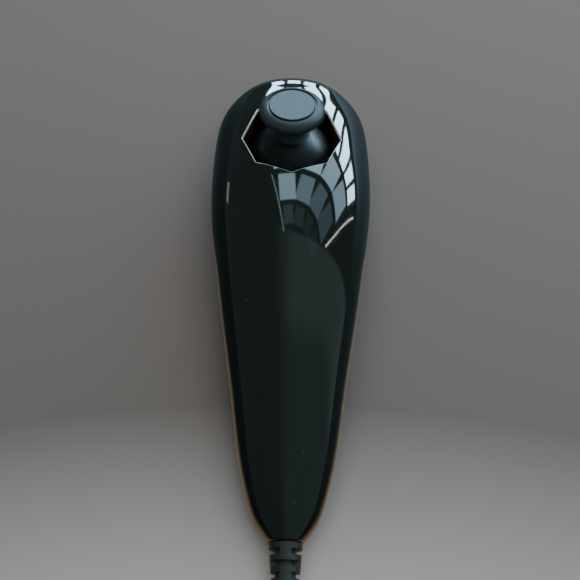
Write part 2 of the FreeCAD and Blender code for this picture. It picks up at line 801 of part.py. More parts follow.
bolts = []
for x, y in (("board_post_side", "-board_post_front"), ("-board_post_side", "-board_post_front"),
             ("0", "-board_post_rear")):
    bolts.append(join(
        rod("board_screw_head", f"{board_level} - 0.9", board_level, (x, y)),
        rod("board_screw_radius", board_level, f"{board_level} + board_screw_length", (x, y))))
node("board_screws", group(*bolts), STICK)

top_side = f"({board_level} + board_thickness)"
node("processor_chip", block("-8.5", "-3.0", "-21.0", "-15.5", top_side, f"{top_side} + 0.9"), STICK)
node("motion_sensor", block("3.2", "8.2", "-20.5", "-15.5", top_side, f"{top_side} + 1.4"), STICK)
node("crystal", block("-2.0", "1.4", "-17.4", "-15.6", top_side, f"{top_side} + 1.0"), STICK)
chips = []
for x, y in ((-10.5, -19), (-10.5, -16.5), (-8, -14.6), (-5, -14.6), (4, -14.6), (7, -14.6), (9.6, -19), (9.6, -16.6)):
    chips.append(block(x, x + 1.6, y, y + 0.8, top_side, f"{top_side} + 0.6"))
node("small_components", group(*chips), STICK)

under = board_level
mid = "socket_side"
socket = less(block(f"{mid} - 4.6", f"{mid} + 4.6", "-21.2", "-16.0", f"{under} - 3.4", under),
              block(f"{mid} - 3.8", f"{mid} + 3.8", "-22.2", "-17.2", f"{under} - 2.7", f"{under} - 0.7"))
node("cable_socket", socket, STICK)
node("cable_plug", join(block(f"{mid} - 3.7", f"{mid} + 3.7", "-21.2", "-17.3", f"{under} - 2.6", f"{under} - 0.8"),
                        block(f"{mid} - 3.9", f"{mid} + 3.9", "-23.4", "-21.2", f"{under} - 3.0", f"{under} - 0.5")),
     STICK)


# Button panel and buttons
# All pieces here are drawn in the face frame, with z into the casing.

flange_low = wall + 0.35
flange_high = flange_low + size("panel_flange_wall")
flange_growth = 2 * size("panel_flange")
panel_rim = rounded_outline(size("panel_width") + flange_growth, size("panel_height") + flange_growth,
                            size("panel_corner") + size("panel_flange"), flange_low, flange_high)
panel_rim = panel_rim.common(in_frame(casing_body(wall + fit), FACE.inverse()))
panel_core = rounded_outline(size("panel_width"), size("panel_height"), size("panel_corner"), 0, flange_high)
gap = size("button_gap")
small_hole = rounded_outline(size("small_button_width") + 2 * gap, size("small_button_height") + 2 * gap,
                             size("small_button_height") / 2 + gap - 0.01, -1, flange_high + 1,
                             size("small_button_place"))
trigger_hole = rounded_outline(size("trigger_width") + 2 * gap, size("trigger_height") + 2 * gap,
                               size("trigger_corner") + gap, -1, flange_high + 1, -size("trigger_place"))
board_depth = size("button_board_depth")
panel = panel_core.fuse(panel_rim)
for side in (-1, 1):
    post = Part.makeCylinder(size("button_post_radius"), board_depth - flange_low,
                             Vector(side * size("button_post_side"), 0, flange_low))
    panel = panel.fuse(post)
panel = panel.cut(small_hole).cut(trigger_hole)
for side in (-1, 1):
    panel = panel.cut(Part.makeCylinder(0.52, 3.0, Vector(side * size("button_post_side"), 0, board_depth - 2.6)))
print("panel solids", len(panel.Solids))
node("button_panel", fixed(panel), FACE)


def push_button(width, height, corner, y_place, proud, travel):
    """A button with a crowned front and a flange that keeps it behind the panel."""
    back = flange_high + 0.1
    stem = rounded_outline(width, height, corner, -proud, back, y_place)
    crown = [edge for edge in stem.Edges
             if all(abs(vertex.Z + proud) < 1e-6 for vertex in edge.Vertexes)]
    stem = stem.makeFillet(min(0.8, corner * 0.6), crown)
    lip_size = size("button_flange")
    flange = rounded_outline(width + 2 * lip_size, height + 2 * lip_size, corner + lip_size,
                             back, back + size("button_flange_wall"), y_place)
    return stem.fuse(flange).removeSplitter()


small_shape = push_button(size("small_button_width"), size("small_button_height"),
                          size("small_button_height") / 2 - 0.01, size("small_button_place"),
                          size("small_button_proud"), size("small_button_travel"))
node("small_button", fixed(small_shape), FACE)
trigger_shape = push_button(size("trigger_width"), size("trigger_height"), size("trigger_corner"),
                            -size("trigger_place"), size("trigger_proud"), size("trigger_travel"))
node("trigger_button", fixed(trigger_shape), FACE)

button_back = flange_high + 0.1 + size("button_flange_wall")


def rubber_dome(name, y_place, radius):
    """A thin rubber cone on the button board under a button."""
    foot = board_depth - 0.03
    head = button_back + 0.05
    outline = [
        (0, head), (radius * 0.45, head), (radius * 0.8, foot - 0.5), (radius, foot - 0.5),
        (radius, foot), (radius * 0.65, foot), (radius * 0.3, head + 0.5), (0, head + 0.5)]
    shape = turned(outline)
    shape.translate(Vector(0, y_place, 0))
    node(name, fixed(shape), FACE)


rubber_dome("small_button_dome", size("small_button_place"), 1.7)
rubber_dome("trigger_button_dome", -size("trigger_place"), 3.6)

half_board = "button_board_width / 2"
button_outline = [
    (f"-{half_board}", "-button_board_height / 2 + 3"),
    (f"-{half_board} + 3", "-button_board_height / 2"),
    (f"{half_board} - 3", "-button_board_height / 2"),
    (half_board, "-button_board_height / 2 + 3"),
    (half_board, "button_board_height / 2 - 4.5"),
    (f"{half_board} - 5.5", "button_board_height / 2"),
    (f"-{half_board} + 5.5", "button_board_height / 2"),
    (f"-{half_board}", "button_board_height / 2 - 4.5"),
]
node("button_board", flat_body("button_board", button_outline, "button_board_thickness", "button_board_depth", [
    ("0.6", "button_post_side", "0"), ("0.6", "-button_post_side", "0")]), FACE)
back_side = "button_board_depth + button_board_thickness"
small_screws = []
for x in ("button_post_side", "-button_post_side"):
    small_screws.append(join(
        rod("1.0", back_side, f"{back_side} + 0.6", (x, "0")),
        rod("0.5", "button_board_depth - 2.4", back_side, (x, "0"))))
node("button_board_screws", group(*small_screws), FACE)


# Cord
# Straight runs joined by tangent arcs, each as large as its runs allow.

def rounded_path(points, name):
    """A wire through the points, with every corner rounded."""
    edges = []
    previous = points[0]
    radii = []
    for before, corner, after in zip(points, points[1:], points[2:]):
        into = (corner - before)
        out = (after - corner)
        shorter = min(into.Length, out.Length)
        into.normalize()
        out.normalize()
        half_turn = into.getAngle(out) / 2
        back = 0.45 * shorter
        radii.append(back / math.tan(half_turn))
        start = corner - into * back
        end = corner + out * back
        centre_way = (out - into).normalize()
        reach = back / math.sin(half_turn) if half_turn > 0 else 0
        radius = radii[-1]
        centre = corner + centre_way * (radius / math.cos(half_turn))
        middle = centre - centre_way * radius
        edges.append(Part.makeLine(previous, start))
        edges.append(Part.Arc(start, middle, end).toShape())
        previous = end
    edges.append(Part.makeLine(previous, points[-1]))
    print(name, "arc radii", [round(radius, 1) for radius in radii])
    return Part.Wire(edges)


def tube(path, diameter, name):
    """A round tube along a path, with its length printed."""
    first = path.Edges[0]
    start = first.valueAt(first.FirstParameter)
    heading = first.tangentAt(first.FirstParameter)
    ring = Part.Wire(Part.makeCircle(diameter / 2, start, heading))
    pipe = Part.BRepOffsetAPI.MakePipeShell(path)
    pipe.add(ring)
    pipe.build()
    pipe.makeSolid()
    solid = pipe.shape()
    share = solid.Volume / (path.Length * math.pi * diameter ** 2 / 4)
    print(name, "length", round(path.Length, 1), "volume share", round(share, 4))
    return solid


cord = size("cord_diameter")
boot_start = tail_end_y - fit
boot_end = boot_start - size("boot_length")
cord_z = size("cord_height")

slots = []
row = 0
place_y = boot_start - size("boot_slot_start")
while place_y - size("boot_slot_length") > boot_end + 2.4:
    ring = Part.makeCylinder(size("boot_root_radius") + 1, size("boot_slot_length"),
                             Vector(0, place_y, cord_z), Vector(0, -1, 0))
    core = Part.makeCylinder(size("boot_root_radius") - size("boot_slot_depth"), size("boot_slot_length"),
                             Vector(0, place_y, cord_z), Vector(0, -1, 0))
    half_web = size("boot_slot_web") / 2
    reach = size("boot_root_radius") + 2
    if row % 2 == 0:
        web = Part.makeBox(2 * half_web, size("boot_slot_length"), 2 * reach,
                           Vector(-half_web, place_y - size("boot_slot_length"), cord_z - reach))
    else:
        web = Part.makeBox(2 * reach, size("boot_slot_length"), 2 * half_web,
                           Vector(-reach, place_y - size("boot_slot_length"), cord_z - half_web))
    slots.append(ring.cut(core).cut(web))
    place_y -= size("boot_slot_pitch")
    row += 1
boot = Part.makeCone(size("boot_root_radius"), size("boot_end_radius"), size("boot_length"),
                     Vector(0, boot_start, cord_z), Vector(0, -1, 0))
for slot in slots:
    boot = boot.cut(slot)
collar_y = tail_end_y + wall + size("boot_collar_seat")
boot = boot.fuse(Part.makeCylinder(size("boot_neck_radius"), collar_y - boot_start,
                                   Vector(0, boot_start, cord_z), Vector(0, 1, 0)))
collar = Part.makeCylinder(size("boot_collar_radius"), size("boot_collar_length"),
                           Vector(0, collar_y, cord_z), Vector(0, 1, 0))
boot = boot.fuse(collar.common(casing_body(wall + fit)))
node("strain_relief", fixed(boot.removeSplitter()))

# Inside the casing: the stripped end of the cord and its conductors.
jacket_start = collar_y + size("boot_collar_length")
jacket_end = jacket_start + size("jacket_inside")
node("cord_inner_end", fixed(Part.makeCylinder(cord / 2, size("jacket_inside"),
                                               Vector(0, jacket_start, cord_z), Vector(0, 1, 0))))
conductors = []
wire_radius = size("wire_diameter") / 2
socket_low = board_top - size("board_thickness") - 1.75
heading = STICK.Rotation.multVec(Vector(0, -1, 0))
for n, offset in enumerate((-1.1, 0, 1.1)):
    target = STICK.multVec(Vector(size("socket_side") + offset * 1.4, -23.4, socket_low))
    approach = target + heading * 4.5
    side = size("socket_side") + offset
    route = [
        Vector(offset, jacket_end, cord_z),
        Vector(offset, jacket_end + 2.2, cord_z),
        Vector(side, jacket_end + 8.0, cord_z + 0.6),
        Vector(side, jacket_end + 20.0, cord_z + 2.6),
        Vector(side, approach.y - 15.0, (cord_z + 2.6 + approach.z) / 2),
        approach,
        target,
    ]
    path = rounded_path(route, f"conductor {n + 1}")
    conductors.append(fixed(tube(path, 2 * wire_radius, f"conductor {n + 1}")))
node("cord_conductors", group(*conductors))

# Free lead from the strain relief to the coil on the floor.
coil_low = cord / 2 + size("tie_wall") + size("tie_gap") + 0.05
coil_turns = int(size("coil_layer_turns"))
coil_pairs = int(size("coil_layer_pairs"))
pitch = size("coil_pitch")
layer_step = size("coil_layer_step")
inner_radius = size("coil_inner_radius")
outer_place = inner_radius + coil_turns * pitch
coil_centre = Vector(size("coil_side"), size("coil_place"), 0)
coil_start = coil_centre + Vector(-outer_place, 0, coil_low)
lead_points = [
    Vector(0, boot_end, cord_z),
    Vector(0, boot_end - 7.4, cord_z),
    Vector(-3.9, boot_end - 17.1, cord_z - 1.3),
    Vector(-13.2, boot_end - 27.4, coil_low + 0.3),
    coil_start + Vector(0, 6.8, 0),
    coil_start,
]
lead_path = rounded_path(lead_points, "lead")
node("cord_lead", fixed(tube(lead_path, cord, "lead")))


def half_turn(start, end, side):
    """A flat half turn between two points, bulging to the given side in y."""
    middle = (start + end) * 0.5
    radius = (end - start).Length / 2
    return Part.Arc(start, middle + Vector(0, side * radius, 0), end).toShape()


def tangent_arc(start, heading, end):
    """An arc that leaves the start along the heading and ends at the end."""
    chord = end - start
    inward = (chord - heading * chord.dot(heading)).normalize()
    radius = chord.Length ** 2 / (2 * chord.dot(inward))
    centre = start + inward * radius
    halfway = ((start - centre) + (end - centre)).normalize()
    return Part.Arc(start, centre + halfway * radius, end).toShape()


coil_edges = []
reach = -outer_place
level = coil_low
side = -1


def coil_point(reach, level):
    return coil_centre + Vector(reach, 0, level)


def wind_layer(change, half_turns):
    """One flat layer of half turns whose reach changes by half a pitch each."""
    global reach, side
    for step in range(half_turns):
        next_reach = -math.copysign(abs(reach) + change * pitch / 2, reach)
        coil_edges.append(half_turn(coil_point(reach, level), coil_point(next_reach, level), side))
        reach, side = next_reach, -side


def climb():
    """Two quarter turns that meet halfway up to the next layer."""
    global reach, level, side
    here = coil_point(reach, level)
    there = coil_point(-reach, level + layer_step)
    heading = Vector(0, side, 0)
    span = there - here
    knot = (here + there) * 0.5 + heading * (span.Length / 2)
    coil_edges.append(tangent_arc(here, heading, knot))
    coil_edges.append(tangent_arc(there, heading, knot))
    reach, level, side = -reach, level + layer_step, -side


# Each pair of layers winds inwards below and outwards above. The last layer leaves
# out a half turn, so the end points away from the controller.
for pair in range(coil_pairs):
    if pair:
        climb()
    wind_layer(-1, 2 * coil_turns)
    climb()
    wind_layer(1, 2 * coil_turns - (1 if pair == coil_pairs - 1 else 0))
coil_end = coil_point(reach, level)
coil_path = Part.Wire(Part.__sortEdges__(coil_edges))
first_point = coil_path.Edges[0].valueAt(coil_path.Edges[0].FirstParameter)
print("coil starts", first_point, "ends", coil_end)
coil_solid = tube(coil_path, cord, "coil")

plug_z = size("plug_height") / 2
plug_start = Vector(size("plug_side"), size("plug_tail"), plug_z)
tail_points = [
    coil_end,
    coil_end + Vector(0, -13.5, 0),
    coil_end + Vector(2.4, -23.5, -5.05),
    plug_start + Vector(0, 7.6, 0),
    plug_start,
]
tail_path = rounded_path(tail_points, "tail")


def least_gap(first, second=None):
    """The least gap between two cord runs, or between a run's own turns."""
    ones = first.discretize(Number=700)
    if second is None:
        skip = int(3 * cord / (first.Length / 699))
        return min((ones[i] - ones[j]).Length for i in range(0, 700, 2) for j in range(i + skip, 700)) - cord
    ones = [one for one in ones if (one - ones[0]).Length > 3 * cord and (one - coil_end).Length > 3 * cord]
    return min((one - other).Length for one in ones for other in second.discretize(Number=90)) - cord


print("coil gaps: own turns", round(least_gap(coil_path), 2), "lead", round(least_gap(coil_path, lead_path), 2),
      "tail", round(least_gap(coil_path, tail_path), 2))
node("cord_coil", fixed(coil_solid))
node("cord_tail", fixed(tube(tail_path, cord, "tail")))

# The tie goes round the bundle at the side away from the controller.
tie_gap = size("tie_gap")
tie_wall = size("tie_wall")
bundle_far = coil_centre.y - (outer_place - pitch / 4) - cord / 2 - tie_gap
bundle_near = (coil_centre.y - math.sqrt(inner_radius ** 2 - (size("tie_width") / 2) ** 2)
               + cord / 2 + tie_gap + 0.1)
bundle_top = level + cord / 2 + tie_gap
bundle_low = coil_low - cord / 2 - tie_gap
half_tie = size("tie_width") / 2
tie_out = Part.makeBox(2 * half_tie, bundle_near - bundle_far + 2 * tie_wall,
                       bundle_top - bundle_low + 2 * tie_wall,
                       Vector(coil_centre.x - half_tie, bundle_far - tie_wall, bundle_low - tie_wall))
tie_in = Part.makeBox(2 * half_tie, bundle_near - bundle_far, bundle_top - bundle_low,
                      Vector(coil_centre.x - half_tie, bundle_far, bundle_low))
cross_axis = Vector(1, 0, 0)
tie_out = tie_out.makeFillet(2.0, [edge for edge in tie_out.Edges if runs_along(edge, cross_axis)])
tie_in = tie_in.makeFillet(1.3, [edge for edge in tie_in.Edges if runs_along(edge, cross_axis)])
node("cord_tie", fixed(tie_out.cut(tie_in)))


# Plug
# Drawn in its own frame: the cord comes in at y = 0 and the nose points along +y.

# The shroud fits inside the shell walls, and the tongue inside the shroud.
NOSE_HALF = "(plug_width / 2 - plug_wall - nose_room)"
PLUG = Placement(plug_start, Rotation(Vector(0, 0, 1), 180))
shell_start = "plug_boot_length"
shell_end = "plug_boot_length + plug_length"

plug_boot = join(
    taper("cord_diameter / 2 + 1.0", "plug_boot_radius", "0", "plug_boot_length - 0.1", ("0", "0"), "y"),
    rod("plug_boot_radius - 1.1", "plug_boot_length - 0.1", "plug_boot_length + plug_wall + 0.2", ("0", "0"), "y"),
    rod("plug_boot_radius - 0.2", "plug_boot_length + plug_wall + 0.2", "plug_boot_length + plug_wall + 2.2",
        ("0", "0"), "y"))
node("plug_boot", plug_boot, PLUG)

plug_outside = soften(
    soften(block("-plug_width / 2", "plug_width / 2", shell_start, shell_end, "-plug_height / 2", "plug_height / 2"),
           size("plug_corner"), lambda edge: runs_along(edge, Vector(0, 1, 0))),
    0.9, lambda edge: edge.BoundBox.YLength < 0.01)
plug_room = block("-plug_width / 2 + plug_wall", "plug_width / 2 - plug_wall",
                  f"{shell_start} + plug_wall", f"{shell_end} - plug_wall",
                  "-plug_height / 2 + plug_wall", "plug_height / 2 - plug_wall")
nose_way = block(f"-{NOSE_HALF} - fit", f"{NOSE_HALF} + fit", f"{shell_end} - plug_wall - 1",
                 f"{shell_end} + 1", "-nose_height / 2 - fit", "nose_height / 2 + fit")
boot_way = rod("plug_boot_radius - 1.1 + fit", f"{shell_start} - 1", f"{shell_start} + plug_wall + 1",
               ("0", "0"), "y")
windows = []
for side in ("", "-"):
    edge_near = f"{side}(plug_width / 2 - plug_wall - 0.5)"
    edge_far = f"{side}(plug_width / 2 + 1)"
    low, high = (edge_near, edge_far) if side == "" else (edge_far, edge_near)
    windows.append(block(low, high, f"{shell_start} + 4 - 0.3", f"{shell_start} + 4 + latch_length + 0.3",
                         "-latch_height / 2 - 0.3", "latch_height / 2 + 0.3"))
hollow = less(plug_outside, plug_room, nose_way, boot_way, *windows)
doc.recompute()
hollow_shape = hollow.Shape
half_reach = 60
upper_half = Part.makeBox(2 * half_reach, 2 * half_reach, half_reach, Vector(-half_reach, -half_reach, fit / 2))
lower_half = Part.makeBox(2 * half_reach, 2 * half_reach, half_reach,
                          Vector(-half_reach, -half_reach, -half_reach - fit / 2))
node("plug_shell_upper", fixed(hollow_shape.common(upper_half)), PLUG)
node("plug_shell_lower", fixed(hollow_shape.common(lower_half)), PLUG)

nose_start = f"({shell_end} - plug_wall - 2.4)"
nose_end = f"({shell_end} + nose_length)"
shroud = less(
    soften(block(f"-{NOSE_HALF}", NOSE_HALF, nose_start, nose_end, "-nose_height / 2", "nose_height / 2"),
           1.6, lambda edge: runs_along(edge, Vector(0, 1, 0))),
    soften(block(f"-{NOSE_HALF} + nose_wall", f"{NOSE_HALF} - nose_wall", f"{nose_start} - 1",
                 f"{nose_end} + 1", "-nose_height / 2 + nose_wall", "nose_height / 2 - nose_wall"),
           0.9, lambda edge: runs_along(edge, Vector(0, 1, 0))))
node("plug_shroud", shroud, PLUG)
carrier = join(
    block(f"-{NOSE_HALF} + nose_wall + fit + 0.9", f"{NOSE_HALF} - nose_wall - fit - 0.9",
          nose_start, f"{nose_start} + 3.2", "-nose_height / 2 + nose_wall + 0.2", "nose_height / 2 - nose_wall - 0.2"),
    block(f"-{NOSE_HALF} + tongue_inset", f"{NOSE_HALF} - tongue_inset", nose_start, f"{nose_end} - tongue_short",
          "-tongue_height / 2", "tongue_height / 2"))
node("plug_carrier", carrier, PLUG)
contacts = []
for n in range(3):
    for face in (1, -1):
        centre = f"({n} - 1) * 2 * contact_pitch"
        contacts.append(block(f"{centre} - contact_width / 2", f"{centre} + contact_width / 2",
                              f"{nose_start} + 3.4", f"{nose_end} - tongue_short - 0.6",
                              "tongue_height / 2" if face > 0 else "-tongue_height / 2 - 0.25",
                              "tongue_height / 2 + 0.25" if face > 0 else "-tongue_height / 2"))
node("plug_contacts", group(*contacts), PLUG)

for name, side in (("latch_right", 1), ("latch_left", -1)):
    out_near = "plug_width / 2 - latch_wall"
    out_far = "plug_width / 2 + latch_proud"
    low, high = (out_near, out_far) if side > 0 else (f"-({out_far})", f"-({out_near})")
    # The rear end is half round about the pin on which the latch swings.
    half = "(latch_wall + latch_proud) / 2"
    pin = f"{shell_start} + 4 + {half}"
    bar = block(low, high, pin, f"{shell_start} + 4 + latch_length", "-latch_height / 2", "latch_height / 2")
    outside = size("plug_width") / 2
    front = size("plug_boot_length") + size("latch_length")
    bar = soften(bar, 0.6, lambda edge: runs_along(edge, Vector(0, 0, 1))
                 and abs(edge.BoundBox.Center.x) > outside and edge.BoundBox.Center.y > front)
    hub = rod(half, "-latch_height / 2", "latch_height / 2", (f"({low} + {high}) / 2", pin))
    node(name, join(bar, hub), PLUG)


# A flat flex joins the button board's back to the front end of the main board.
back_depth = board_depth + size("button_board_thickness")
flex_line = [
    FACE.multVec(Vector(0, -2.6, back_depth)),
    FACE.multVec(Vector(0, -5.4, back_depth)),
    STICK.multVec(Vector(0, size("board_front") - 0.1, board_top)),
    STICK.multVec(Vector(0, size("board_front") - 2.0, board_top)),
]
flex_face = Part.makePolygon(flex_line).makeOffset2D(size("flex_thickness"), 2, True, True)
flex_half = size("flex_width") / 2
flex_face.translate(Vector(-flex_half, 0, 0))
node("button_flex", fixed(flex_face.extrude(Vector(2 * flex_half, 0, 0))))

doc.recompute()

# Checks and export

for item in doc.Objects:
    if any(word in item.State for word in ("Invalid", "Error")):
        raise RuntimeError(f"{item.Label} did not build: {item.State}")
for name, item in NODES.items():
    shape = item.Shape
    if shape.isNull() or not shape.isValid() or not shape.Solids:
        raise RuntimeError(f"{name} has no valid solid")

os.makedirs("parts", exist_ok=True)
for name, item in NODES.items():
    item.Shape.exportStep(f"parts/{name}.step")
    box = item.Shape.BoundBox
    print(f"{name:22s} solids {len(item.Shape.Solids):2d}  volume {item.Shape.Volume:9.2f}  "
          f"x {box.XMin:7.2f} {box.XMax:7.2f}  y {box.YMin:8.2f} {box.YMax:8.2f}  z {box.ZMin:6.2f} {box.ZMax:6.2f}")
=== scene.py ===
# %% [markdown]
# A one-handed motion game controller, dressed for its portrait.
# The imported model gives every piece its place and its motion. This file adds the
# camera, the cord, the smooth gloss casing and the finishes.

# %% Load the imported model
import math

import bmesh
import bpy
import numpy as np
from mathutils import Matrix, Vector


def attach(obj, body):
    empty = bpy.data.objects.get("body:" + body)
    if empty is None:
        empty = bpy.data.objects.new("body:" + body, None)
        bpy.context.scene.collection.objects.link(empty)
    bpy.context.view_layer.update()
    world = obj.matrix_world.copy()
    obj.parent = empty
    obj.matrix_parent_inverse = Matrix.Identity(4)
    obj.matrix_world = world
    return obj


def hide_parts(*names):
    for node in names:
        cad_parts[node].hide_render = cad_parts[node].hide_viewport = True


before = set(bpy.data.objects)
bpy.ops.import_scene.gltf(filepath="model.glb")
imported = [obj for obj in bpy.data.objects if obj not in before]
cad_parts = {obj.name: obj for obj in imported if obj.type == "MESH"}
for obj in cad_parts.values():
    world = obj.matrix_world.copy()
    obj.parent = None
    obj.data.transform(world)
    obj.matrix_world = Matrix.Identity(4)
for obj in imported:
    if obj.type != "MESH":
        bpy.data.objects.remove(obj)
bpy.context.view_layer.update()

MM = 0.001
scene = bpy.context.scene

# %% [markdown]
# The photograph was taken from above the tail, 69 degrees above the table and about
# 30 cm away. A lens that long keeps the taper of the grip honest, so the camera
# stands at that distance and is turned by the same slight roll.

# %% Camera
CAMERA_ELEVATION = math.radians(69.21)
CAMERA_ROLL = math.radians(0.84)
CAMERA_DISTANCE = 0.300
LOOK_AT = Vector((0.0, 0.00045, 0.012))
FOCAL_LENGTH, SENSOR_WIDTH = 79.31, 36.0
PICTURE_WIDTH = 580
SHIFT_RIGHT, SHIFT_UP = 0.60, 3.21
camera_data = bpy.data.cameras.new("portrait_camera")
camera_data.lens = FOCAL_LENGTH
camera_data.sensor_width = SENSOR_WIDTH
camera_data.clip_start = 0.02
camera_data.clip_end = 20.0
camera_data.shift_x = SHIFT_RIGHT / PICTURE_WIDTH
camera_data.shift_y = SHIFT_UP / PICTURE_WIDTH
camera = bpy.data.objects.new("portrait_camera", camera_data)
scene.collection.objects.link(camera)
toward_camera = Vector((0, -math.cos(CAMERA_ELEVATION), math.sin(CAMERA_ELEVATION)))
camera.location = LOOK_AT + toward_camera * CAMERA_DISTANCE
camera.rotation_mode = "QUATERNION"
camera_turn = (-toward_camera).to_track_quat("-Z", "Y")
camera_roll = Matrix.Rotation(CAMERA_ROLL, 4, "Z").to_quaternion()
camera.rotation_quaternion = camera_turn @ camera_roll
scene.camera = camera
print("camera at", [round(c, 3) for c in camera.location])


# %% [markdown]
# The cord leaves the strain relief straight, bends down to the table and ends in a
# neat coil out of view. Its line is one smooth NURBS spline with the route's corner
# points as control points. The coil is wound in four layers of half turns whose reach
# changes by half a pitch each time, inwards, outwards, inwards and outwards again.

# %% Cord route
# the route is in millimetres; a last half turn of each layer climbs to the next
CORD_DIAMETER = 3.5 * MM
BOOT_END = -70.6
CORD_LEVEL = 6.0
COIL_PLACE = (5.2, -112.5)
COIL_OUTER = 22.5
COIL_PITCH = 4.75
COIL_LOW = 2.65
COIL_STEP = 4.4
HALF_TURNS_PER_LAYER = (4, 4, 4, 3)
POINTS_PER_HALF = 9
PLUG_SIDE, PLUG_LEVEL = -8.6, 5.75


def coil_points():
    """Control points of the coil, half turn by half turn, and the place it ends at."""
    points = []
    reach, level, side = -COIL_OUTER, COIL_LOW, -1
    for layer, half_turns in enumerate(HALF_TURNS_PER_LAYER):
        changes = [(1 if layer % 2 else -1, 0.0)] * half_turns
        if layer < len(HALF_TURNS_PER_LAYER) - 1:
            changes.append((0, COIL_STEP))
        for change, rise in changes:
            end = -math.copysign(abs(reach) + change * COIL_PITCH / 2, reach)
            middle, radius = (reach + end) / 2, (reach - end) / 2
            outward = radius / math.cos(math.pi / (2 * POINTS_PER_HALF))
            for step in range(POINTS_PER_HALF):
                share = (step + 0.5) / POINTS_PER_HALF
                points.append((COIL_PLACE[0] + middle + outward * math.cos(math.pi * share),
                               COIL_PLACE[1] + side * abs(outward) * math.sin(math.pi * share),
                               level + rise * share * share * (3 - 2 * share)))
            reach, level, side = end, level + rise, -side
    return points, (COIL_PLACE[0] + reach, COIL_PLACE[1], level)


coil, coil_end = coil_points()
cord_points = [
    (0, BOOT_END, CORD_LEVEL),
    (0, BOOT_END - 7.4, CORD_LEVEL),
    (-3.9, BOOT_END - 17.1, CORD_LEVEL - 1.3),
    (-13.2, BOOT_END - 27.4, COIL_LOW + 0.3),
    (COIL_PLACE[0] - COIL_OUTER, COIL_PLACE[1] + 6.8, COIL_LOW),
    *coil,
    (coil_end[0], coil_end[1] - 13.5, coil_end[2]),
    (coil_end[0] + 2.4, coil_end[1] - 23.5, coil_end[2] - 5.05),
    (PLUG_SIDE, -145.4, PLUG_LEVEL),
    (PLUG_SIDE, -153.0, PLUG_LEVEL),
]
print("cord control points", len(cord_points))

# %% [markdown]
# The cord itself. A round profile along that line stays smooth at every bend, where the tubes of the
# imported model have facets. It stands for all three of them and rides on the casing.

# %% Cord
cord_curve = bpy.data.curves.new("cord", "CURVE")
cord_curve.dimensions = "3D"
cord_spline = cord_curve.splines.new("NURBS")
cord_spline.points.add(len(cord_points) - 1)
for point, (x, y, z) in zip(cord_spline.points, cord_points):
    point.co = (x * MM, y * MM, z * MM, 1.0)
    point.radius = CORD_DIAMETER / 2
cord_spline.order_u = 3
cord_spline.use_endpoint_u = True
cord_spline.resolution_u = 6
cord_curve.bevel_depth = 1.0
cord_curve.bevel_resolution = 6
cord_curve.use_fill_caps = True
cord = bpy.data.objects.new("cord", cord_curve)
scene.collection.objects.link(cord)
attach(cord, "casing")
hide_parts("cord_lead", "cord_coil", "cord_tail")


# %% [markdown]
# Node helpers. The finishes, the floor and the world all need the same few nodes: a
# range, a mix and a step of arithmetic. Writing each by hand would repeat the same
# lines, so small functions add them to any node tree. Where one takes a value or a
# socket, a socket is linked.

# %% Node helpers
def new_group(name, inputs, outputs):
    """An empty shader group with float inputs and outputs."""
    group = bpy.data.node_groups.new(name, "ShaderNodeTree")
    for label, value in inputs:
        socket = group.interface.new_socket(label, in_out="INPUT", socket_type="NodeSocketFloat")
        socket.default_value = value
    for label in outputs:
        group.interface.new_socket(label, in_out="OUTPUT", socket_type="NodeSocketFloat")
    return group, group.nodes.new("NodeGroupInput"), group.nodes.new("NodeGroupOutput")


def map_range(tree, source, low, high, start=0.0, end=1.0):
    """Spreads a mask between two values."""
    node = tree.nodes.new("ShaderNodeMapRange")
    node.inputs["From Min"].default_value = start
    node.inputs["From Max"].default_value = end
    node.inputs["To Min"].default_value = low
    node.inputs["To Max"].default_value = high
    tree.links.new(source, node.inputs["Value"])
    return node.outputs["Result"]


def arithmetic(tree, operation, *values):
    """One step of arithmetic on numbers or sockets."""
    node = tree.nodes.new("ShaderNodeMath")
    node.operation = operation
    for socket, value in zip(node.inputs, values):
        if isinstance(value, float):
            socket.default_value = value
        else:
            tree.links.new(value, socket)
    return node.outputs[0]


def mix_colour(tree, mask, first, second):
    """Two colours or sockets, mixed by a mask."""
    node = tree.nodes.new("ShaderNodeMix")
    node.data_type = "RGBA"
    for label, colour in (("A", first), ("B", second)):
        if isinstance(colour, tuple):
            node.inputs[label].default_value = (*colour, 1.0)
        else:
            tree.links.new(colour, node.inputs[label])
    tree.links.new(mask, node.inputs["Factor"])
    return node.outputs["Result"]


print("node helpers are ready")

# %% [markdown]
# Building a material. Every finish here is one Principled shader with a few masks that
# steer its colour, roughness and bump, so one function makes the shader and two more
# add a shared effect and a bump.

# %% Material builder
def principled(name, colour, roughness, **sockets):
    """A new material with its Principled shader; sockets are set by their labels."""
    material = bpy.data.materials.new(name)
    material.use_nodes = True
    shader = material.node_tree.nodes["Principled BSDF"]
    shader.inputs["Base Color"].default_value = (*colour, 1.0)
    shader.inputs["Roughness"].default_value = roughness
    for label, value in sockets.items():
        shader.inputs[label.replace("_", " ")].default_value = value
    return material, shader


def add_effect(tree, group, **values):
    """One use of a shared effect, with its own values."""
    node = tree.nodes.new("ShaderNodeGroup")
    node.node_tree = group
    for label, value in values.items():
        node.inputs[label.replace("_", " ")].default_value = value
    return node


def bump(tree, shader, height, strength, distance):
    """Raises the surface by a height mask."""
    node = tree.nodes.new("ShaderNodeBump")
    node.inputs["Strength"].default_value = strength
    node.inputs["Distance"].default_value = distance
    tree.links.new(height, node.inputs["Height"])
    tree.links.new(node.outputs["Normal"], shader.inputs["Normal"])


print("material helpers are ready")

# %% [markdown]
# Moulded grain. A real mould is spark-eroded or blasted, and every plastic and rubber
# part takes over that fine texture, with cloudy patches where it is a little duller.
# Photographs of a texture could do it, but noise that reads Object coordinates needs
# no file and stays on the surface as the piece turns. It is a node group, because
# fifteen finishes share it, each with its own scale.

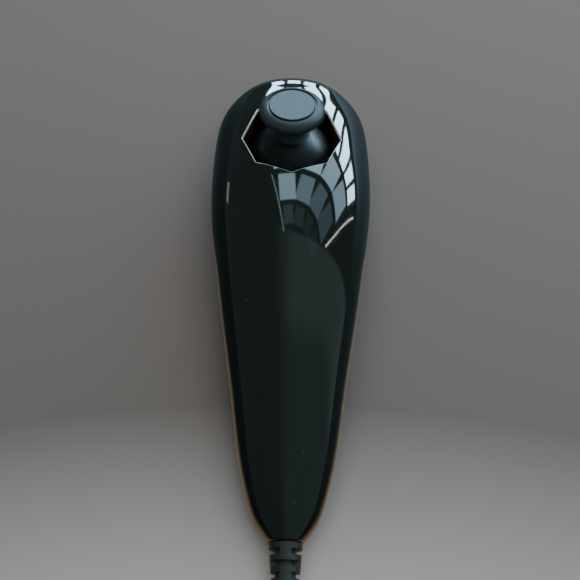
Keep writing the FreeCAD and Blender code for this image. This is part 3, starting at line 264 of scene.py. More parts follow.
# %% Shared effect: moulded grain
grain_group, grain_in, grain_out = new_group(
    "moulded_grain", [("Scale", 900.0), ("Detail", 4.0)], ["Height", "Blotch"])
grain_place = grain_group.nodes.new("ShaderNodeTexCoord")
grain_fine = grain_group.nodes.new("ShaderNodeTexNoise")
grain_broad = grain_group.nodes.new("ShaderNodeTexNoise")
grain_broad.inputs["Scale"].default_value = 90.0
grain_broad.inputs["Detail"].default_value = 3.0
link = grain_group.links.new
link(grain_place.outputs["Object"], grain_fine.inputs["Vector"])
link(grain_place.outputs["Object"], grain_broad.inputs["Vector"])
link(grain_in.outputs["Scale"], grain_fine.inputs["Scale"])
link(grain_in.outputs["Detail"], grain_fine.inputs["Detail"])
link(grain_fine.outputs["Fac"], grain_out.inputs["Height"])
link(grain_broad.outputs["Fac"], grain_out.inputs["Blotch"])

# %% [markdown]
# Dust and rubs. Gloss black shows every speck of dust and every faint rub of a hand.
# Specks could be modelled one by one, but a cell pattern cut at a small distance gives
# thousands for nothing, and a broad noise keeps them to some patches. The rubs are a
# stretched noise that only changes the roughness, as real ones do: they are seen in a
# reflection and nowhere else.

# %% Shared effect: dust specks and faint rub marks
dust_group, dust_in, dust_out = new_group(
    "dust_and_rubs", [("Speck Scale", 420.0), ("Speck Size", 0.05), ("Rub Scale", 160.0)],
    ["Specks", "Rubs"])
dust_place = dust_group.nodes.new("ShaderNodeTexCoord")
specks = dust_group.nodes.new("ShaderNodeTexVoronoi")
patches = dust_group.nodes.new("ShaderNodeTexNoise")
patches.inputs["Scale"].default_value = 60.0
stretch = dust_group.nodes.new("ShaderNodeMapping")
stretch.inputs["Rotation"].default_value = (0.3, 0.2, 0.5)
stretch.inputs["Scale"].default_value = (1.0, 0.06, 1.0)
rubs = dust_group.nodes.new("ShaderNodeTexNoise")
rubs.inputs["Detail"].default_value = 5.0
link = dust_group.links.new
link(dust_place.outputs["Object"], specks.inputs["Vector"])
link(dust_place.outputs["Object"], patches.inputs["Vector"])
link(dust_place.outputs["Object"], stretch.inputs["Vector"])
link(dust_in.outputs["Speck Scale"], specks.inputs["Scale"])
link(stretch.outputs["Vector"], rubs.inputs["Vector"])
link(dust_in.outputs["Rub Scale"], rubs.inputs["Scale"])
speck_cut = arithmetic(dust_group, "LESS_THAN", specks.outputs["Distance"],
                       dust_in.outputs["Speck Size"])
patch_cut = arithmetic(dust_group, "GREATER_THAN", patches.outputs["Fac"], 0.55)
speck_mask = arithmetic(dust_group, "MULTIPLY", speck_cut, patch_cut)
rub_mask = map_range(dust_group, rubs.outputs["Fac"], 0.0, 1.0, start=0.58, end=0.72)
link(speck_mask, dust_out.inputs["Specks"])
link(rub_mask, dust_out.inputs["Rubs"])
print("shared effects", grain_group.name, dust_group.name)


# %% [markdown]
# The casing's gloss. The shells are moulded in polished black plastic, which is
# almost a black mirror: its own colour hardly matters and its smoothness is
# everything. A low roughness with a thin, still smoother coat over it gives the hard
# edge of a polished surface, and dust and rubs keep it from looking like glass.

# %% Gloss casing
GLOSS_COLOUR, DUST_COLOUR = (0.004, 0.0062, 0.0060), (0.10, 0.11, 0.11)
CLEAN_ROUGHNESS, RUBBED_ROUGHNESS = 0.055, 0.16
casing_gloss, gloss_shader = principled("casing_gloss", GLOSS_COLOUR, CLEAN_ROUGHNESS,
                                        Specular_IOR_Level=0.55, Coat_Weight=0.35,
                                        Coat_Roughness=0.03)
gloss_tree = casing_gloss.node_tree
dust = add_effect(gloss_tree, dust_group)
dusty = mix_colour(gloss_tree, dust.outputs["Specks"], GLOSS_COLOUR, DUST_COLOUR)
rubbed = map_range(gloss_tree, dust.outputs["Rubs"], CLEAN_ROUGHNESS, RUBBED_ROUGHNESS)
gloss_tree.links.new(dusty, gloss_shader.inputs["Base Color"])
gloss_tree.links.new(rubbed, gloss_shader.inputs["Roughness"])
print("gloss", casing_gloss.name)


# %% [markdown]
# The other finishes. The stick's cap is soft rubber, its dome satin plastic, the boot
# and the cord are flexible vinyl, and inside are resin, acetal, silicone, flex, board
# and metal. They differ in colour, roughness, scale and depth of grain, so one
# function makes them all.

# %% Rubber, plastics, resin and metal
SMOOTHER, ROUGHER = 0.06, 0.08
GRAIN_STRENGTH = 0.35


def grained(name, colour, lighter, roughness, scale, depth, **sockets):
    """A finish whose grain changes its colour, its roughness and its surface."""
    material, shader = principled(name, colour, roughness, **sockets)
    tree = material.node_tree
    grain = add_effect(tree, grain_group, Scale=scale)
    cloudy = mix_colour(tree, grain.outputs["Blotch"], colour, lighter)
    uneven = map_range(tree, grain.outputs["Height"], roughness - SMOOTHER, roughness + ROUGHER)
    tree.links.new(cloudy, shader.inputs["Base Color"])
    tree.links.new(uneven, shader.inputs["Roughness"])
    bump(tree, shader, grain.outputs["Height"], GRAIN_STRENGTH, depth)
    return material


# colour, lighter colour in the cloudy patches, roughness, scale and depth of the grain
cap_rubber = grained("cap_rubber", (0.017, 0.025, 0.033), (0.024, 0.034, 0.044),
                     0.52, 2600.0, 0.00004, Specular_IOR_Level=0.32)
dome_satin = grained("dome_satin", (0.004, 0.006, 0.0065), (0.006, 0.0085, 0.009),
                     0.36, 2200.0, 0.00001, Specular_IOR_Level=0.3)
boot_rubber = grained("boot_rubber", (0.016, 0.017, 0.018), (0.024, 0.025, 0.026),
                      0.42, 2000.0, 0.00002)
cord_vinyl = grained("cord_vinyl", (0.014, 0.0145, 0.015), (0.022, 0.023, 0.024),
                     0.38, 1500.0, 0.00002)
plug_satin = grained("plug_satin", (0.02, 0.021, 0.022), (0.03, 0.031, 0.032),
                     0.34, 1800.0, 0.00001)
# the gate's lip: a pale grey painted highlight on black gloss plastic, in place of the bright line
# that its rounded edge mirrors
gate_lip_painted_highlight = grained("gate_lip_painted_highlight", (0.50, 0.51, 0.51), (0.60, 0.61, 0.61),
                   0.28, 1500.0, 0.000005, Specular_IOR_Level=0.9)
tie_weave = grained("tie_weave", (0.012, 0.012, 0.013), (0.03, 0.03, 0.031),
                    0.85, 3200.0, 0.00008)
chip_resin = grained("chip_resin", (0.012, 0.012, 0.013), (0.02, 0.02, 0.021),
                     0.55, 3000.0, 0.00001)
acetal_white = grained("acetal_white", (0.72, 0.71, 0.68), (0.78, 0.77, 0.74),
                       0.38, 1200.0, 0.00001)
acetal_black = grained("acetal_black", (0.006, 0.0062, 0.0064), (0.010, 0.0102, 0.0105),
                       0.42, 1400.0, 0.00001)
silicone_grey = grained("silicone_grey", (0.42, 0.43, 0.44), (0.5, 0.51, 0.52),
                        0.5, 1200.0, 0.00001)
flex_amber = grained("flex_amber", (0.42, 0.2, 0.03), (0.5, 0.27, 0.05),
                     0.3, 900.0, 0.000005)
board_mask = grained("board_mask", (0.006, 0.03, 0.014), (0.010, 0.045, 0.02),
                     0.32, 700.0, 0.00001)
steel = grained("steel", (0.55, 0.55, 0.56), (0.62, 0.62, 0.63),
                0.28, 1600.0, 0.000005, Metallic=1.0)
gold = grained("gold", (0.8, 0.58, 0.24), (0.86, 0.66, 0.32),
               0.25, 1600.0, 0.000005, Metallic=1.0)
print("finishes", len(bpy.data.materials))

# %% [markdown]
# Who wears what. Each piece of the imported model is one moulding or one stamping, so
# one table can give every node its single finish. The cord is drawn here as one
# spline and wears the same vinyl as the tubes that it stands for.

# %% Dress the pieces
NODE_FINISH = {
    casing_gloss: ["upper_casing", "lower_casing", "button_panel", "small_button", "trigger_button"],
    cap_rubber: ["stick_cap"],
    dome_satin: ["stick_dome"],
    boot_rubber: ["strain_relief", "plug_boot"],
    cord_vinyl: ["cord_inner_end", "cord_conductors", "cord_lead", "cord_coil", "cord_tail"],
    plug_satin: ["plug_shell_upper", "plug_shell_lower", "plug_carrier", "latch_right", "latch_left"],
    tie_weave: ["cord_tie"],
    chip_resin: ["processor_chip", "motion_sensor", "small_components", "tilt_sensor_body",
                 "side_sensor_body"],
    acetal_black: ["stick_housing", "tilt_rocker", "side_rocker"],
    acetal_white: ["stick_shaft", "tilt_sensor_wiper", "side_sensor_wiper", "return_plunger",
                   "cable_socket", "cable_plug"],
    silicone_grey: ["small_button_dome", "trigger_button_dome"],
    flex_amber: ["button_flex"],
    board_mask: ["main_board", "button_board"],
    steel: ["case_screws", "button_board_screws", "stick_pin", "return_spring", "board_screws",
            "crystal", "plug_shroud"],
    gold: ["plug_contacts"],
}


def dress(piece, material):
    """Gives every face of a piece one material."""
    piece.data.materials.clear()
    piece.data.materials.append(material)


for material, names in NODE_FINISH.items():
    for name in names:
        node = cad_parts[name]
        for slot_number in range(len(node.data.materials)):
            node.material_slots[slot_number].link = "OBJECT"
            node.material_slots[slot_number].material = material
dress(cord, cord_vinyl)
undressed = set(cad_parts) - {name for names in NODE_FINISH.values() for name in names}
print("nodes without a finish", sorted(undressed))


# %% [markdown]
# The casing. A real one is two moulded shells, and its gloss shows every bump, so the
# surface is drawn again here as closely set rings through smoothly blended
# cross-sections, rather than as the flat facets of an exported solid. Each shell is
# swept from one closed outline: the outside arc, a small lip at the seam, and the
# inside arc back again.

# %% Cross-sections of the casing
# top point (y, z), bottom point (y, z) and half width in millimetres, tail to nose
STATIONS = np.array([
    (-56.95, 10.15, -56.95, 1.95, 4.05), (-53.6, 12.1, -53.6, 0.45, 6.65),
    (-48.55, 14.16, -48.55, 0.06, 8.75), (-39.55, 16.76, -39.55, 0.16, 10.9),
    (-25.55, 20.26, -25.55, 1.16, 12.9), (-7.55, 24.36, -7.55, 2.56, 15.5),
    (9.45, 26.96, 8.45, 3.36, 17.7), (24.45, 26.86, 19.45, 2.56, 18.95),
    (36.45, 24.26, 28.45, 0.71, 18.95), (46.45, 20.96, 36.45, 0.00, 18.3),
    (52.25, 18.66, 41.45, 0.08, 16.1), (55.35, 16.86, 44.65, 0.48, 11.9),
    (56.05, 15.36, 45.85, 1.28, 10.0)])
# shares of the height at the widest place and at the seam, then how far the section
# leans towards a square, and the wall in millimetres
WAIST, SEAM, SQUARENESS, WALL = 0.46, 0.53, 0.03, 1.8
middles = (STATIONS[:, 0:2] + STATIONS[:, 2:4]) / 2
station_at = np.concatenate([[0], np.cumsum(np.hypot(*np.diff(middles, axis=0).T))])


def natural_spline(at, values):
    """Second derivatives of a smooth curve through the values."""
    count = len(at)
    gaps = np.diff(at)
    system, right = np.eye(count), np.zeros_like(values)
    for n in range(1, count - 1):
        system[n, n - 1:n + 2] = gaps[n - 1], 2 * (gaps[n - 1] + gaps[n]), gaps[n]
        slopes = (values[n] - values[n - 1]) / gaps[n - 1], (values[n + 1] - values[n]) / gaps[n]
        right[n] = 6 * (slopes[1] - slopes[0])
    return np.linalg.solve(system, right)


bends = natural_spline(station_at, STATIONS)


def station(place):
    """The blended cross-section at a distance from the tail."""
    n = min(max(np.searchsorted(station_at, place) - 1, 0), len(station_at) - 2)
    gap = station_at[n + 1] - station_at[n]
    b = (place - station_at[n]) / gap
    a = 1 - b
    return (a * STATIONS[n] + b * STATIONS[n + 1]
            + ((a ** 3 - a) * bends[n] + (b ** 3 - b) * bends[n + 1]) * gap * gap / 6)


def rounded_square(angle):
    """Sideways and upward reach of the section, each from -1 to 1."""
    across = (math.cos(angle) - SQUARENESS * math.cos(3 * angle)) / (1 - SQUARENESS)
    lift = (math.sin(angle) + SQUARENESS * math.sin(3 * angle)) / (1 - SQUARENESS)
    return across, lift


def casing_point(place, angle, inset=0.0):
    """A point of the casing's surface, by distance from the tail and angle round it."""
    y_top, z_top, y_low, z_low, half_width = station(place)
    up = np.array([0, y_top - y_low, z_top - z_low])
    height = np.linalg.norm(up)
    up /= height
    across, lift = rounded_square(angle)
    half_height = height * ((1 - WAIST) if lift > 0 else WAIST) - inset
    middle = np.array([0, y_low, z_low]) + up * height * WAIST
    point = middle + np.array([across * (half_width - inset), 0, 0]) + up * lift * half_height
    # the belly rests on the table and never dips under it
    point[2] = max(point[2], 0.0)
    return point


# the angle round the section at which the seam's height is reached
seam_lift = (SEAM - WAIST) / (1 - WAIST)
seam_angle = min(np.linspace(0, 0.4, 2001), key=lambda a: abs(rounded_square(a)[1] - seam_lift))
print("casing length along its middle", round(station_at[-1], 1), "seam angle", round(seam_angle, 3))

# %% [markdown]
# The ends of the casing. Each end is a small flat face with a hole: round for the
# strain relief, and a rounded rectangle for the button panel. A cap modelled apart
# would leave a seam that a real moulding doesn't have, so the rings run on: over the
# edge in a soft turn, across the face, and into the hole.

# %% Ends of the casing
TAIL_END = {"hole": np.array([0, -56.95, 6.0]), "out": np.array([0, -1.0, 0])}
NOSE_END = {"hole": np.array([0, 50.95, 8.32]), "out": np.array([0, 0.80983, -0.58667])}
RELIEF_ROOM = 3.15
# half width, half height and corner radius of the opening for the button panel
PANEL_ROOM = (8.45, 7.25, 6.55)
# how far the soft turn reaches over the end's face, then rows of the turn and the face
LAND_SHARE, TURN_SHARES = 0.35, (0.2, 0.4, 0.6, 0.8, 1.0)
FACE_SHARE, HOLE_EDGE = 0.6, 0.12


def tail_hole(direction):
    """Distance to the round outline of the strain relief, the same all round."""
    return RELIEF_ROOM


def nose_hole(direction):
    """Distance to the panel's rounded outline along a direction in the face."""
    across, along = abs(direction[0]), math.hypot(direction[1], direction[2])
    half_width, half_height, corner = PANEL_ROOM
    if across * half_height < along * (half_width - corner):
        return half_height / along
    if along * half_width < across * (half_height - corner):
        return half_width / across
    centre = np.array([half_width - corner, half_height - corner])
    toward = across * centre[0] + along * centre[1]
    return toward + math.sqrt(max(0.0, toward ** 2 - centre @ centre + corner ** 2))


def end_places(end, hole_reach, last, before, angle):
    """Outside and inside points that turn over an end's edge and into its hole."""
    edge = casing_point(last, angle)
    start = casing_point(before, angle)
    inward = end["hole"] - edge
    inward -= end["out"] * (inward @ end["out"])
    direction = -inward / np.linalg.norm(inward)
    rim = end["hole"] + direction * hole_reach(direction)
    land = edge + (rim - edge) * LAND_SHARE
    outside = [start * (1 - share) ** 2 + edge * 2 * share * (1 - share) + land * share * share
               for share in TURN_SHARES]
    outside.append(land + (rim - land) * FACE_SHARE)
    outside.append(rim + direction * HOLE_EDGE)
    outside.append(rim - end["out"] * HOLE_EDGE)
    inner_start = inside_point(before, angle)
    inner_rim = rim - end["out"] * WALL
    inside = [inner_start + (inner_rim - inner_start) * (n + 1) / len(outside)
              for n in range(len(outside))]
    return outside, inside


def inside_point(place, angle):
    """A point of the inner wall, kept a wall's thickness behind both ends."""
    point = casing_point(place, angle, WALL)
    for end in (TAIL_END, NOSE_END):
        over = (point - end["hole"]) @ end["out"] + WALL
        if over > 0:
            point = point - end["out"] * over
    return point


# %% [markdown]
# The rings. Every ring of a shell has the same number of points in the same order:
# the outside arc, the lip at one seam, the inside arc back, and the lip at the other.
# So each ring joins the next one point by point.

# %% Rings of a shell
RINGS, ARC_STEPS = 118, 76
TAIL_TURN, NOSE_TURN = 0.55, 0.5
LIP_RISE, LIP_DEPTH = 0.07, 0.16


def shell_rings(first_angle, last_angle):
    """Every ring of a shell: outside arc, seam lip, inside arc, seam lip."""
    angles = np.linspace(first_angle, last_angle, ARC_STEPS + 1)
    places = np.linspace(TAIL_TURN, station_at[-1] - NOSE_TURN, RINGS)
    outside = [[casing_point(place, angle) for angle in angles] for place in places]
    inside = [[inside_point(place, angle) for angle in angles] for place in places]
    for end, hole, last, before in ((TAIL_END, tail_hole, 0.0, places[0]),
                                    (NOSE_END, nose_hole, station_at[-1], places[-1])):
        turned = [end_places(end, hole, last, before, angle) for angle in angles]
        extra_out = [list(row) for row in zip(*(pair[0] for pair in turned))]
        extra_in = [list(row) for row in zip(*(pair[1] for pair in turned))]
        if end is TAIL_END:
            outside, inside = extra_out[::-1] + outside, extra_in[::-1] + inside
        else:
            outside, inside = outside + extra_out, inside + extra_in
    rings = []
    for outer, inner in zip(outside, inside):
        lips = []
        for n in (0, -1):
            toward_seam = outer[n] - outer[1 if n == 0 else -2]
            toward_seam /= np.linalg.norm(toward_seam)
            inward = inner[n] - outer[n]
            inward /= np.linalg.norm(inward)
            lips.append(outer[n] + toward_seam * LIP_RISE + inward * LIP_DEPTH)
        rings.append(outer + [lips[1]] + inner[::-1] + [lips[0]])
    return [np.array(ring) * MM for ring in rings]


print("rings", RINGS, "between the ends, arc steps", ARC_STEPS)

# %% [markdown]
# Sweeping the shells. A shell could be a subdivided box pushed into shape, but its
# outline follows measured cross-sections, and gloss shows the least error. So a
# circle is the start: its points take the places of the first ring, it is extruded
# ring by ring to the nose, and both ends are closed with a strip of faces.

# %% Sweep a shell
SEAM_HALF_GAP = 0.004
WELD = 0.0000005


def select_only(piece):
    """Leaves one piece selected and active, in object mode."""
    if bpy.context.mode != "OBJECT":
        bpy.ops.object.mode_set(mode="OBJECT")
    bpy.ops.object.select_all(action="DESELECT")
    piece.select_set(True)
    bpy.context.view_layer.objects.active = piece


def only_edit(piece, kind="VERT"):
    """Opens one piece for editing with nothing selected in it."""
    select_only(piece)
    bpy.ops.object.mode_set(mode="EDIT")
    bpy.ops.mesh.select_mode(type=kind)
    bpy.ops.mesh.select_all(action="DESELECT")


def next_ring(mesh, ring, places):
    """Extrudes a selected ring of edges and puts its new points in place."""
    bpy.ops.mesh.extrude_region_move()
    work = bmesh.from_edit_mesh(mesh)
    work.verts.ensure_lookup_table()
    fresh = []
    for n in ring:
        beside = [edge.other_vert(work.verts[n]) for edge in work.verts[n].link_edges]
        fresh.append(next(other.index for other in beside if other.select))
    for n, place in zip(fresh, places):
        work.verts[n].co = place
    bmesh.update_edit_mesh(mesh)
    return fresh


def sweep_shell(name, first_angle, last_angle):
    """One shell of the casing, extruded ring by ring from tail to nose."""
    rings = shell_rings(first_angle, last_angle)
    bpy.ops.object.select_all(action="DESELECT")
    bpy.ops.mesh.primitive_circle_add(vertices=len(rings[0]), radius=0.01)
    shell = bpy.context.object
    shell.name = shell.data.name = name
    only_edit(shell)
    bpy.ops.mesh.select_all(action="SELECT")
    work = bmesh.from_edit_mesh(shell.data)
    work.verts.ensure_lookup_table()
    ring = list(range(len(rings[0])))
    for vertex, place in zip(work.verts, rings[0]):
        vertex.co = place
    bmesh.update_edit_mesh(shell.data)
    first = ring
    for places in rings[1:]:
        ring = next_ring(shell.data, ring, places)
    work = bmesh.from_edit_mesh(shell.data)
    work.verts.ensure_lookup_table()
    count = ARC_STEPS + 1
    for end in (first, ring):
        outer, inner = end[:count], end[count + 1:-1][::-1]
        lip_last, lip_first = end[count], end[-1]
        for n in range(ARC_STEPS):
            work.faces.new([work.verts[v] for v in (outer[n], outer[n + 1], inner[n + 1], inner[n])])
        work.faces.new([work.verts[v] for v in (outer[0], inner[0], lip_first)])
        work.faces.new([work.verts[v] for v in (outer[-1], lip_last, inner[-1])])
    bmesh.update_edit_mesh(shell.data)
    bpy.ops.mesh.select_all(action="SELECT")
    bpy.ops.mesh.remove_doubles(threshold=WELD)
    bpy.ops.mesh.normals_make_consistent(inside=False)
    bpy.ops.object.mode_set(mode="OBJECT")
    return shell


upper_shell = sweep_shell("upper_shell", seam_angle + SEAM_HALF_GAP,
                          math.pi - seam_angle - SEAM_HALF_GAP)
lower_shell = sweep_shell("lower_shell", math.pi - seam_angle + SEAM_HALF_GAP,
                          2 * math.pi + seam_angle - SEAM_HALF_GAP)
for shell in (upper_shell, lower_shell):
    print(shell.name, len(shell.data.vertices), "points")

# %% [markdown]
# The gate. The stick moves in an eight-sided opening that guides it to the eight
# directions. The opening is square to the stick and not to the table, so everything
# about it is measured from the stick's pivot, along and across the stick.

# %% Where the gate is
PIVOT = Vector((0, 33.2247, 15.8578)) * MM
STICK_Y = Vector((0, 0.93358, -0.35837))
STICK_Z = Vector((0, 0.35837, 0.93358))
STICK_X = Vector((1, 0, 0))
GATE_REACH = 11.55 * math.cos(math.pi / 8)


def gate_side(n):
    """The outward direction of one side of the gate."""
    angle = math.pi / 8 + n * math.pi / 4
    return STICK_X * math.cos(angle) + STICK_Y * math.sin(angle)


def gate_distance(point):
    """How far a point is outside the gate's sides, in millimetres."""
    offset = point - PIVOT
    return max(offset.dot(gate_side(n)) for n in range(8)) / MM - GATE_REACH


def in_the_top(point):
    """Whether a point is above the stick's pivot, along the stick."""
    return (point - PIVOT).dot(STICK_Z) > 0


print("gate reach", round(GATE_REACH, 3))

# %% [markdown]
# Cutting the gate. A boolean would cut a prism out in one call, but the lip needs the
# cut edge as one selected loop. So one bisect per side draws the outline, the faces
# inside it go, and the open edge is extruded over a small rounded lip and down the
# wall to the opening in the inner wall.

# %% Cut the gate
LIP_WIDTH = 0.36
INNER_MARGIN, INNER_LEVEL = 1.2, 3.4
# how far each row of the rounded lip goes inwards and down
LIP_ROWS = ((0.07, 0.01), (0.10, 0.06), (0.10, 0.12), (0.06, 0.15), (0.03, 0.2))
# only faces this close to a side are cut by its plane
CUT_REACH, CUT_HALF_LENGTH = 1.6, 6.6
EDGE_TOLERANCE = 0.05


def cut_gate(shell, margin, outside):
    """Cuts the gate's outline into the outer or inner wall and opens it."""
    only_edit(shell, "FACE")
    for n in range(8):
        work = bmesh.from_edit_mesh(shell.data)
        normal = gate_side(n)
        along = STICK_Z.cross(normal)
        centre = PIVOT + normal * (GATE_REACH + margin) * MM
        for face in work.faces:
            middle = face.calc_center_median()
            offset = (middle - centre) / MM
            near = abs(offset.dot(normal)) < CUT_REACH and abs(offset.dot(along)) < CUT_HALF_LENGTH
            face.select_set(near and in_the_top(middle) and (face.normal.dot(STICK_Z) > 0) == outside)
        work.select_flush(True)
        bmesh.update_edit_mesh(shell.data)
        bpy.ops.mesh.bisect(plane_co=centre, plane_no=normal, use_fill=False, threshold=WELD)
        bpy.ops.mesh.select_all(action="DESELECT")
    work = bmesh.from_edit_mesh(shell.data)
    for face in work.faces:
        middle = face.calc_center_median()
        face.select_set(gate_distance(middle) < margin and in_the_top(middle)
                        and (face.normal.dot(STICK_Z) > 0) == outside)
    bmesh.update_edit_mesh(shell.data)
    bpy.ops.mesh.delete(type="FACE")
    bpy.ops.mesh.select_mode(type="EDGE")
    work = bmesh.from_edit_mesh(shell.data)
    for edge in work.edges:
        off = max(abs(gate_distance(vertex.co) - margin) for vertex in edge.verts)
        edge.select_set(edge.is_boundary and off < EDGE_TOLERANCE)
    bmesh.update_edit_mesh(shell.data)


def gate_ring(shell, inward, drop=None, level=None):
    """Extrudes the selected gate edge inwards and down the stick's axis."""
    bpy.ops.mesh.extrude_region_move()
    work = bmesh.from_edit_mesh(shell.data)
    for vertex in work.verts:
        if vertex.select:
            offset = vertex.co - PIVOT
            x, y, z = offset.dot(STICK_X), offset.dot(STICK_Y), offset.dot(STICK_Z)
            reach = max(offset.dot(gate_side(n)) for n in range(8))
            scale = (reach - inward * MM) / reach
            z = level * MM if level is not None else z - drop * MM
            vertex.co = PIVOT + STICK_X * x * scale + STICK_Y * y * scale + STICK_Z * z
    bmesh.update_edit_mesh(shell.data)


select_only(upper_shell)
bpy.ops.object.duplicate()
smooth_guide = bpy.context.object
cut_gate(upper_shell, INNER_MARGIN, outside=False)
cut_gate(upper_shell, LIP_WIDTH, outside=True)
for inward, drop in LIP_ROWS:
    gate_ring(upper_shell, inward, drop=drop)
gate_ring(upper_shell, 0.0, level=INNER_LEVEL)
gate_ring(upper_shell, -INNER_MARGIN, level=INNER_LEVEL)
work = bmesh.from_edit_mesh(upper_shell.data)
for edge in work.edges:
    if edge.is_boundary:
        edge.select_set(True)
bmesh.update_edit_mesh(upper_shell.data)
print("open edges round the gate before bridging", sum(edge.select for edge in work.edges))
bpy.ops.mesh.bridge_edge_loops()
bpy.ops.mesh.select_all(action="SELECT")
bpy.ops.mesh.normals_make_consistent(inside=False)
work = bmesh.from_edit_mesh(upper_shell.data)
print("open edges after", sum(edge.is_boundary for edge in work.edges))
bpy.ops.object.mode_set(mode="OBJECT")

# %% [markdown]
# Screw wells. Two screws close the shells from below, and each head sits deep in a
# round well, out of the hand's way. The well is a post that stands on the inside of
# the belly, bored in two steps: wide for the head, narrow for the shank. The posts
# and the bores are cylinders shaped by inset and extrude, and booleans join them.

# %% Cut the screw wells
# millimetres: where the wells are along the casing, then radii and heights
WELL_PLACES = (-0.6, -37.6)
WELL_RADIUS, WELL_HEIGHT = 3.2, 6.0
HEAD_ROOM, SHANK_ROOM = 2.05, 1.05
HEAD_SINK, HEAD_HEIGHT = 1.6, 1.2


def round_post(radius, y, low, high):
    """An upright cylinder between two heights, left alone in edit mode."""
    bpy.ops.object.select_all(action="DESELECT")
    bpy.ops.mesh.primitive_cylinder_add(vertices=64, radius=radius * MM, depth=(high - low) * MM,
                                        location=(0, y * MM, (low + high) / 2 * MM))
    post = bpy.context.object
    bpy.ops.object.transform_apply(location=True, rotation=False, scale=False)
    only_edit(post, "FACE")
    return post


def narrow_top(post, from_radius, to_radius, rise):
    """Carries the top face on as a narrower post."""
    work = bmesh.from_edit_mesh(post.data)
    top = max(work.faces, key=lambda face: face.calc_center_median().z)
    top.select_set(True)
    bmesh.update_edit_mesh(post.data)
    bpy.ops.mesh.inset(thickness=(from_radius - to_radius) * MM)
    bpy.ops.mesh.extrude_region_move(TRANSFORM_OT_translate={"value": (0, 0, rise * MM)})


def combine(piece, tool, operation):
    """Joins or cuts a piece with a tool, which is used up."""
    select_only(piece)
    cut = piece.modifiers.new("cut", "BOOLEAN")
    cut.object, cut.operation, cut.solver = tool, operation, "EXACT"
    bpy.ops.object.modifier_apply(modifier=cut.name)
    bpy.data.objects.remove(tool)


for y in WELL_PLACES:
    _, place, _, _ = lower_shell.ray_cast((0, y * MM, -0.05), (0, 0, 1))
    belly = place.z / MM
    seat = belly + HEAD_SINK + HEAD_HEIGHT
    combine(lower_shell, round_post(WELL_RADIUS, y, belly + WALL / 2, seat + WELL_HEIGHT), "UNION")
    bore = round_post(HEAD_ROOM, y, belly - 1, seat)
    narrow_top(bore, HEAD_ROOM, SHANK_ROOM, WELL_HEIGHT + 1)
    combine(lower_shell, bore, "DIFFERENCE")
    print("well at", y, "belly", round(belly, 2), "faces", len(lower_shell.data.polygons))

# %% [markdown]
# Smooth shading. Cutting the gate leaves long thin faces beside it, and their shading
# would show as ripples in the reflections. A copy of the shell from before the cut
# still has perfect shading, so the cut shell borrows it wherever the two surfaces are
# the same. The lip's own faces keep theirs.

# %% Smooth shading from the uncut surface
SMOOTH_ANGLE = math.radians(28)
BORROW_REACH = 6
LIP_TOLERANCE = 0.01
for shell in (smooth_guide, upper_shell, lower_shell):
    select_only(shell)
    bpy.ops.object.shade_smooth_by_angle(angle=SMOOTH_ANGLE)


def beside_gate(point):
    """Whether a point of the top is near the gate but not on its lip."""
    return LIP_WIDTH - LIP_TOLERANCE < gate_distance(point) < BORROW_REACH and in_the_top(point)


def borrow_normals(shell, guide, keep):
    """Takes the shading of the uncut surface wherever the surfaces are the same."""
    group = shell.vertex_groups.new(name="same_surface")
    group.add([v.index for v in shell.data.vertices if keep(v.co)], 1.0, "REPLACE")
    select_only(shell)
    transfer = shell.modifiers.new("shading", "DATA_TRANSFER")
    transfer.object = guide
    transfer.use_loop_data = True
    transfer.data_types_loops = {"CUSTOM_NORMAL"}
    transfer.loop_mapping = "POLYINTERP_NEAREST"
    transfer.vertex_group = group.name
    bpy.ops.object.modifier_apply(modifier=transfer.name)
    shell.vertex_groups.clear()


borrow_normals(upper_shell, smooth_guide, beside_gate)
bpy.data.objects.remove(smooth_guide)
print("smooth shells", upper_shell.name, lower_shell.name)

# %% [markdown]
# The shells take their places. Both ride on the casing and stand for its two packed nodes. The gate's
# lip shows as a thin bright line, and that highlight is painted: its faces are painted a pale grey
# that the black plastic doesn't have, picked by their distance from the gate's sides.

# %% Shells on the casing
CUT_TOLERANCE = 0.002


def on_lip(point):
    """Whether a point of the top is on the gate's lip."""
    return LIP_TOLERANCE < gate_distance(point) < LIP_WIDTH - CUT_TOLERANCE and in_the_top(point)


for shell, node in ((upper_shell, "upper_casing"), (lower_shell, "lower_casing")):
    dress(shell, casing_gloss)
    # the lip's faces get the painted highlight
    shell.data.materials.append(gate_lip_painted_highlight)
    for face in shell.data.polygons:
        if on_lip(face.center):
            face.material_index = 1
    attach(shell, "casing")
    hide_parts(node)
    low, high = np.array(shell.bound_box).min(0), np.array(shell.bound_box).max(0)
    print(shell.name, "box", low.round(5), high.round(5))

# %% [markdown]
# The floor. The controller lies on a plain table top. A flat plane is all it needs. A soft brighter
# pool of painted light behind the tail, where the table lies lighter, is painted into its colour, so
# no lamp has to be bent to make it; between the pool and the plain table the colour is painted darker
# than either.

# %% Floor
FLOOR_ROUGHNESS = 0.75
PAINTED_POOL_MIDDLE_Y, PAINTED_POOL_WIDTH = -0.12, 2.0
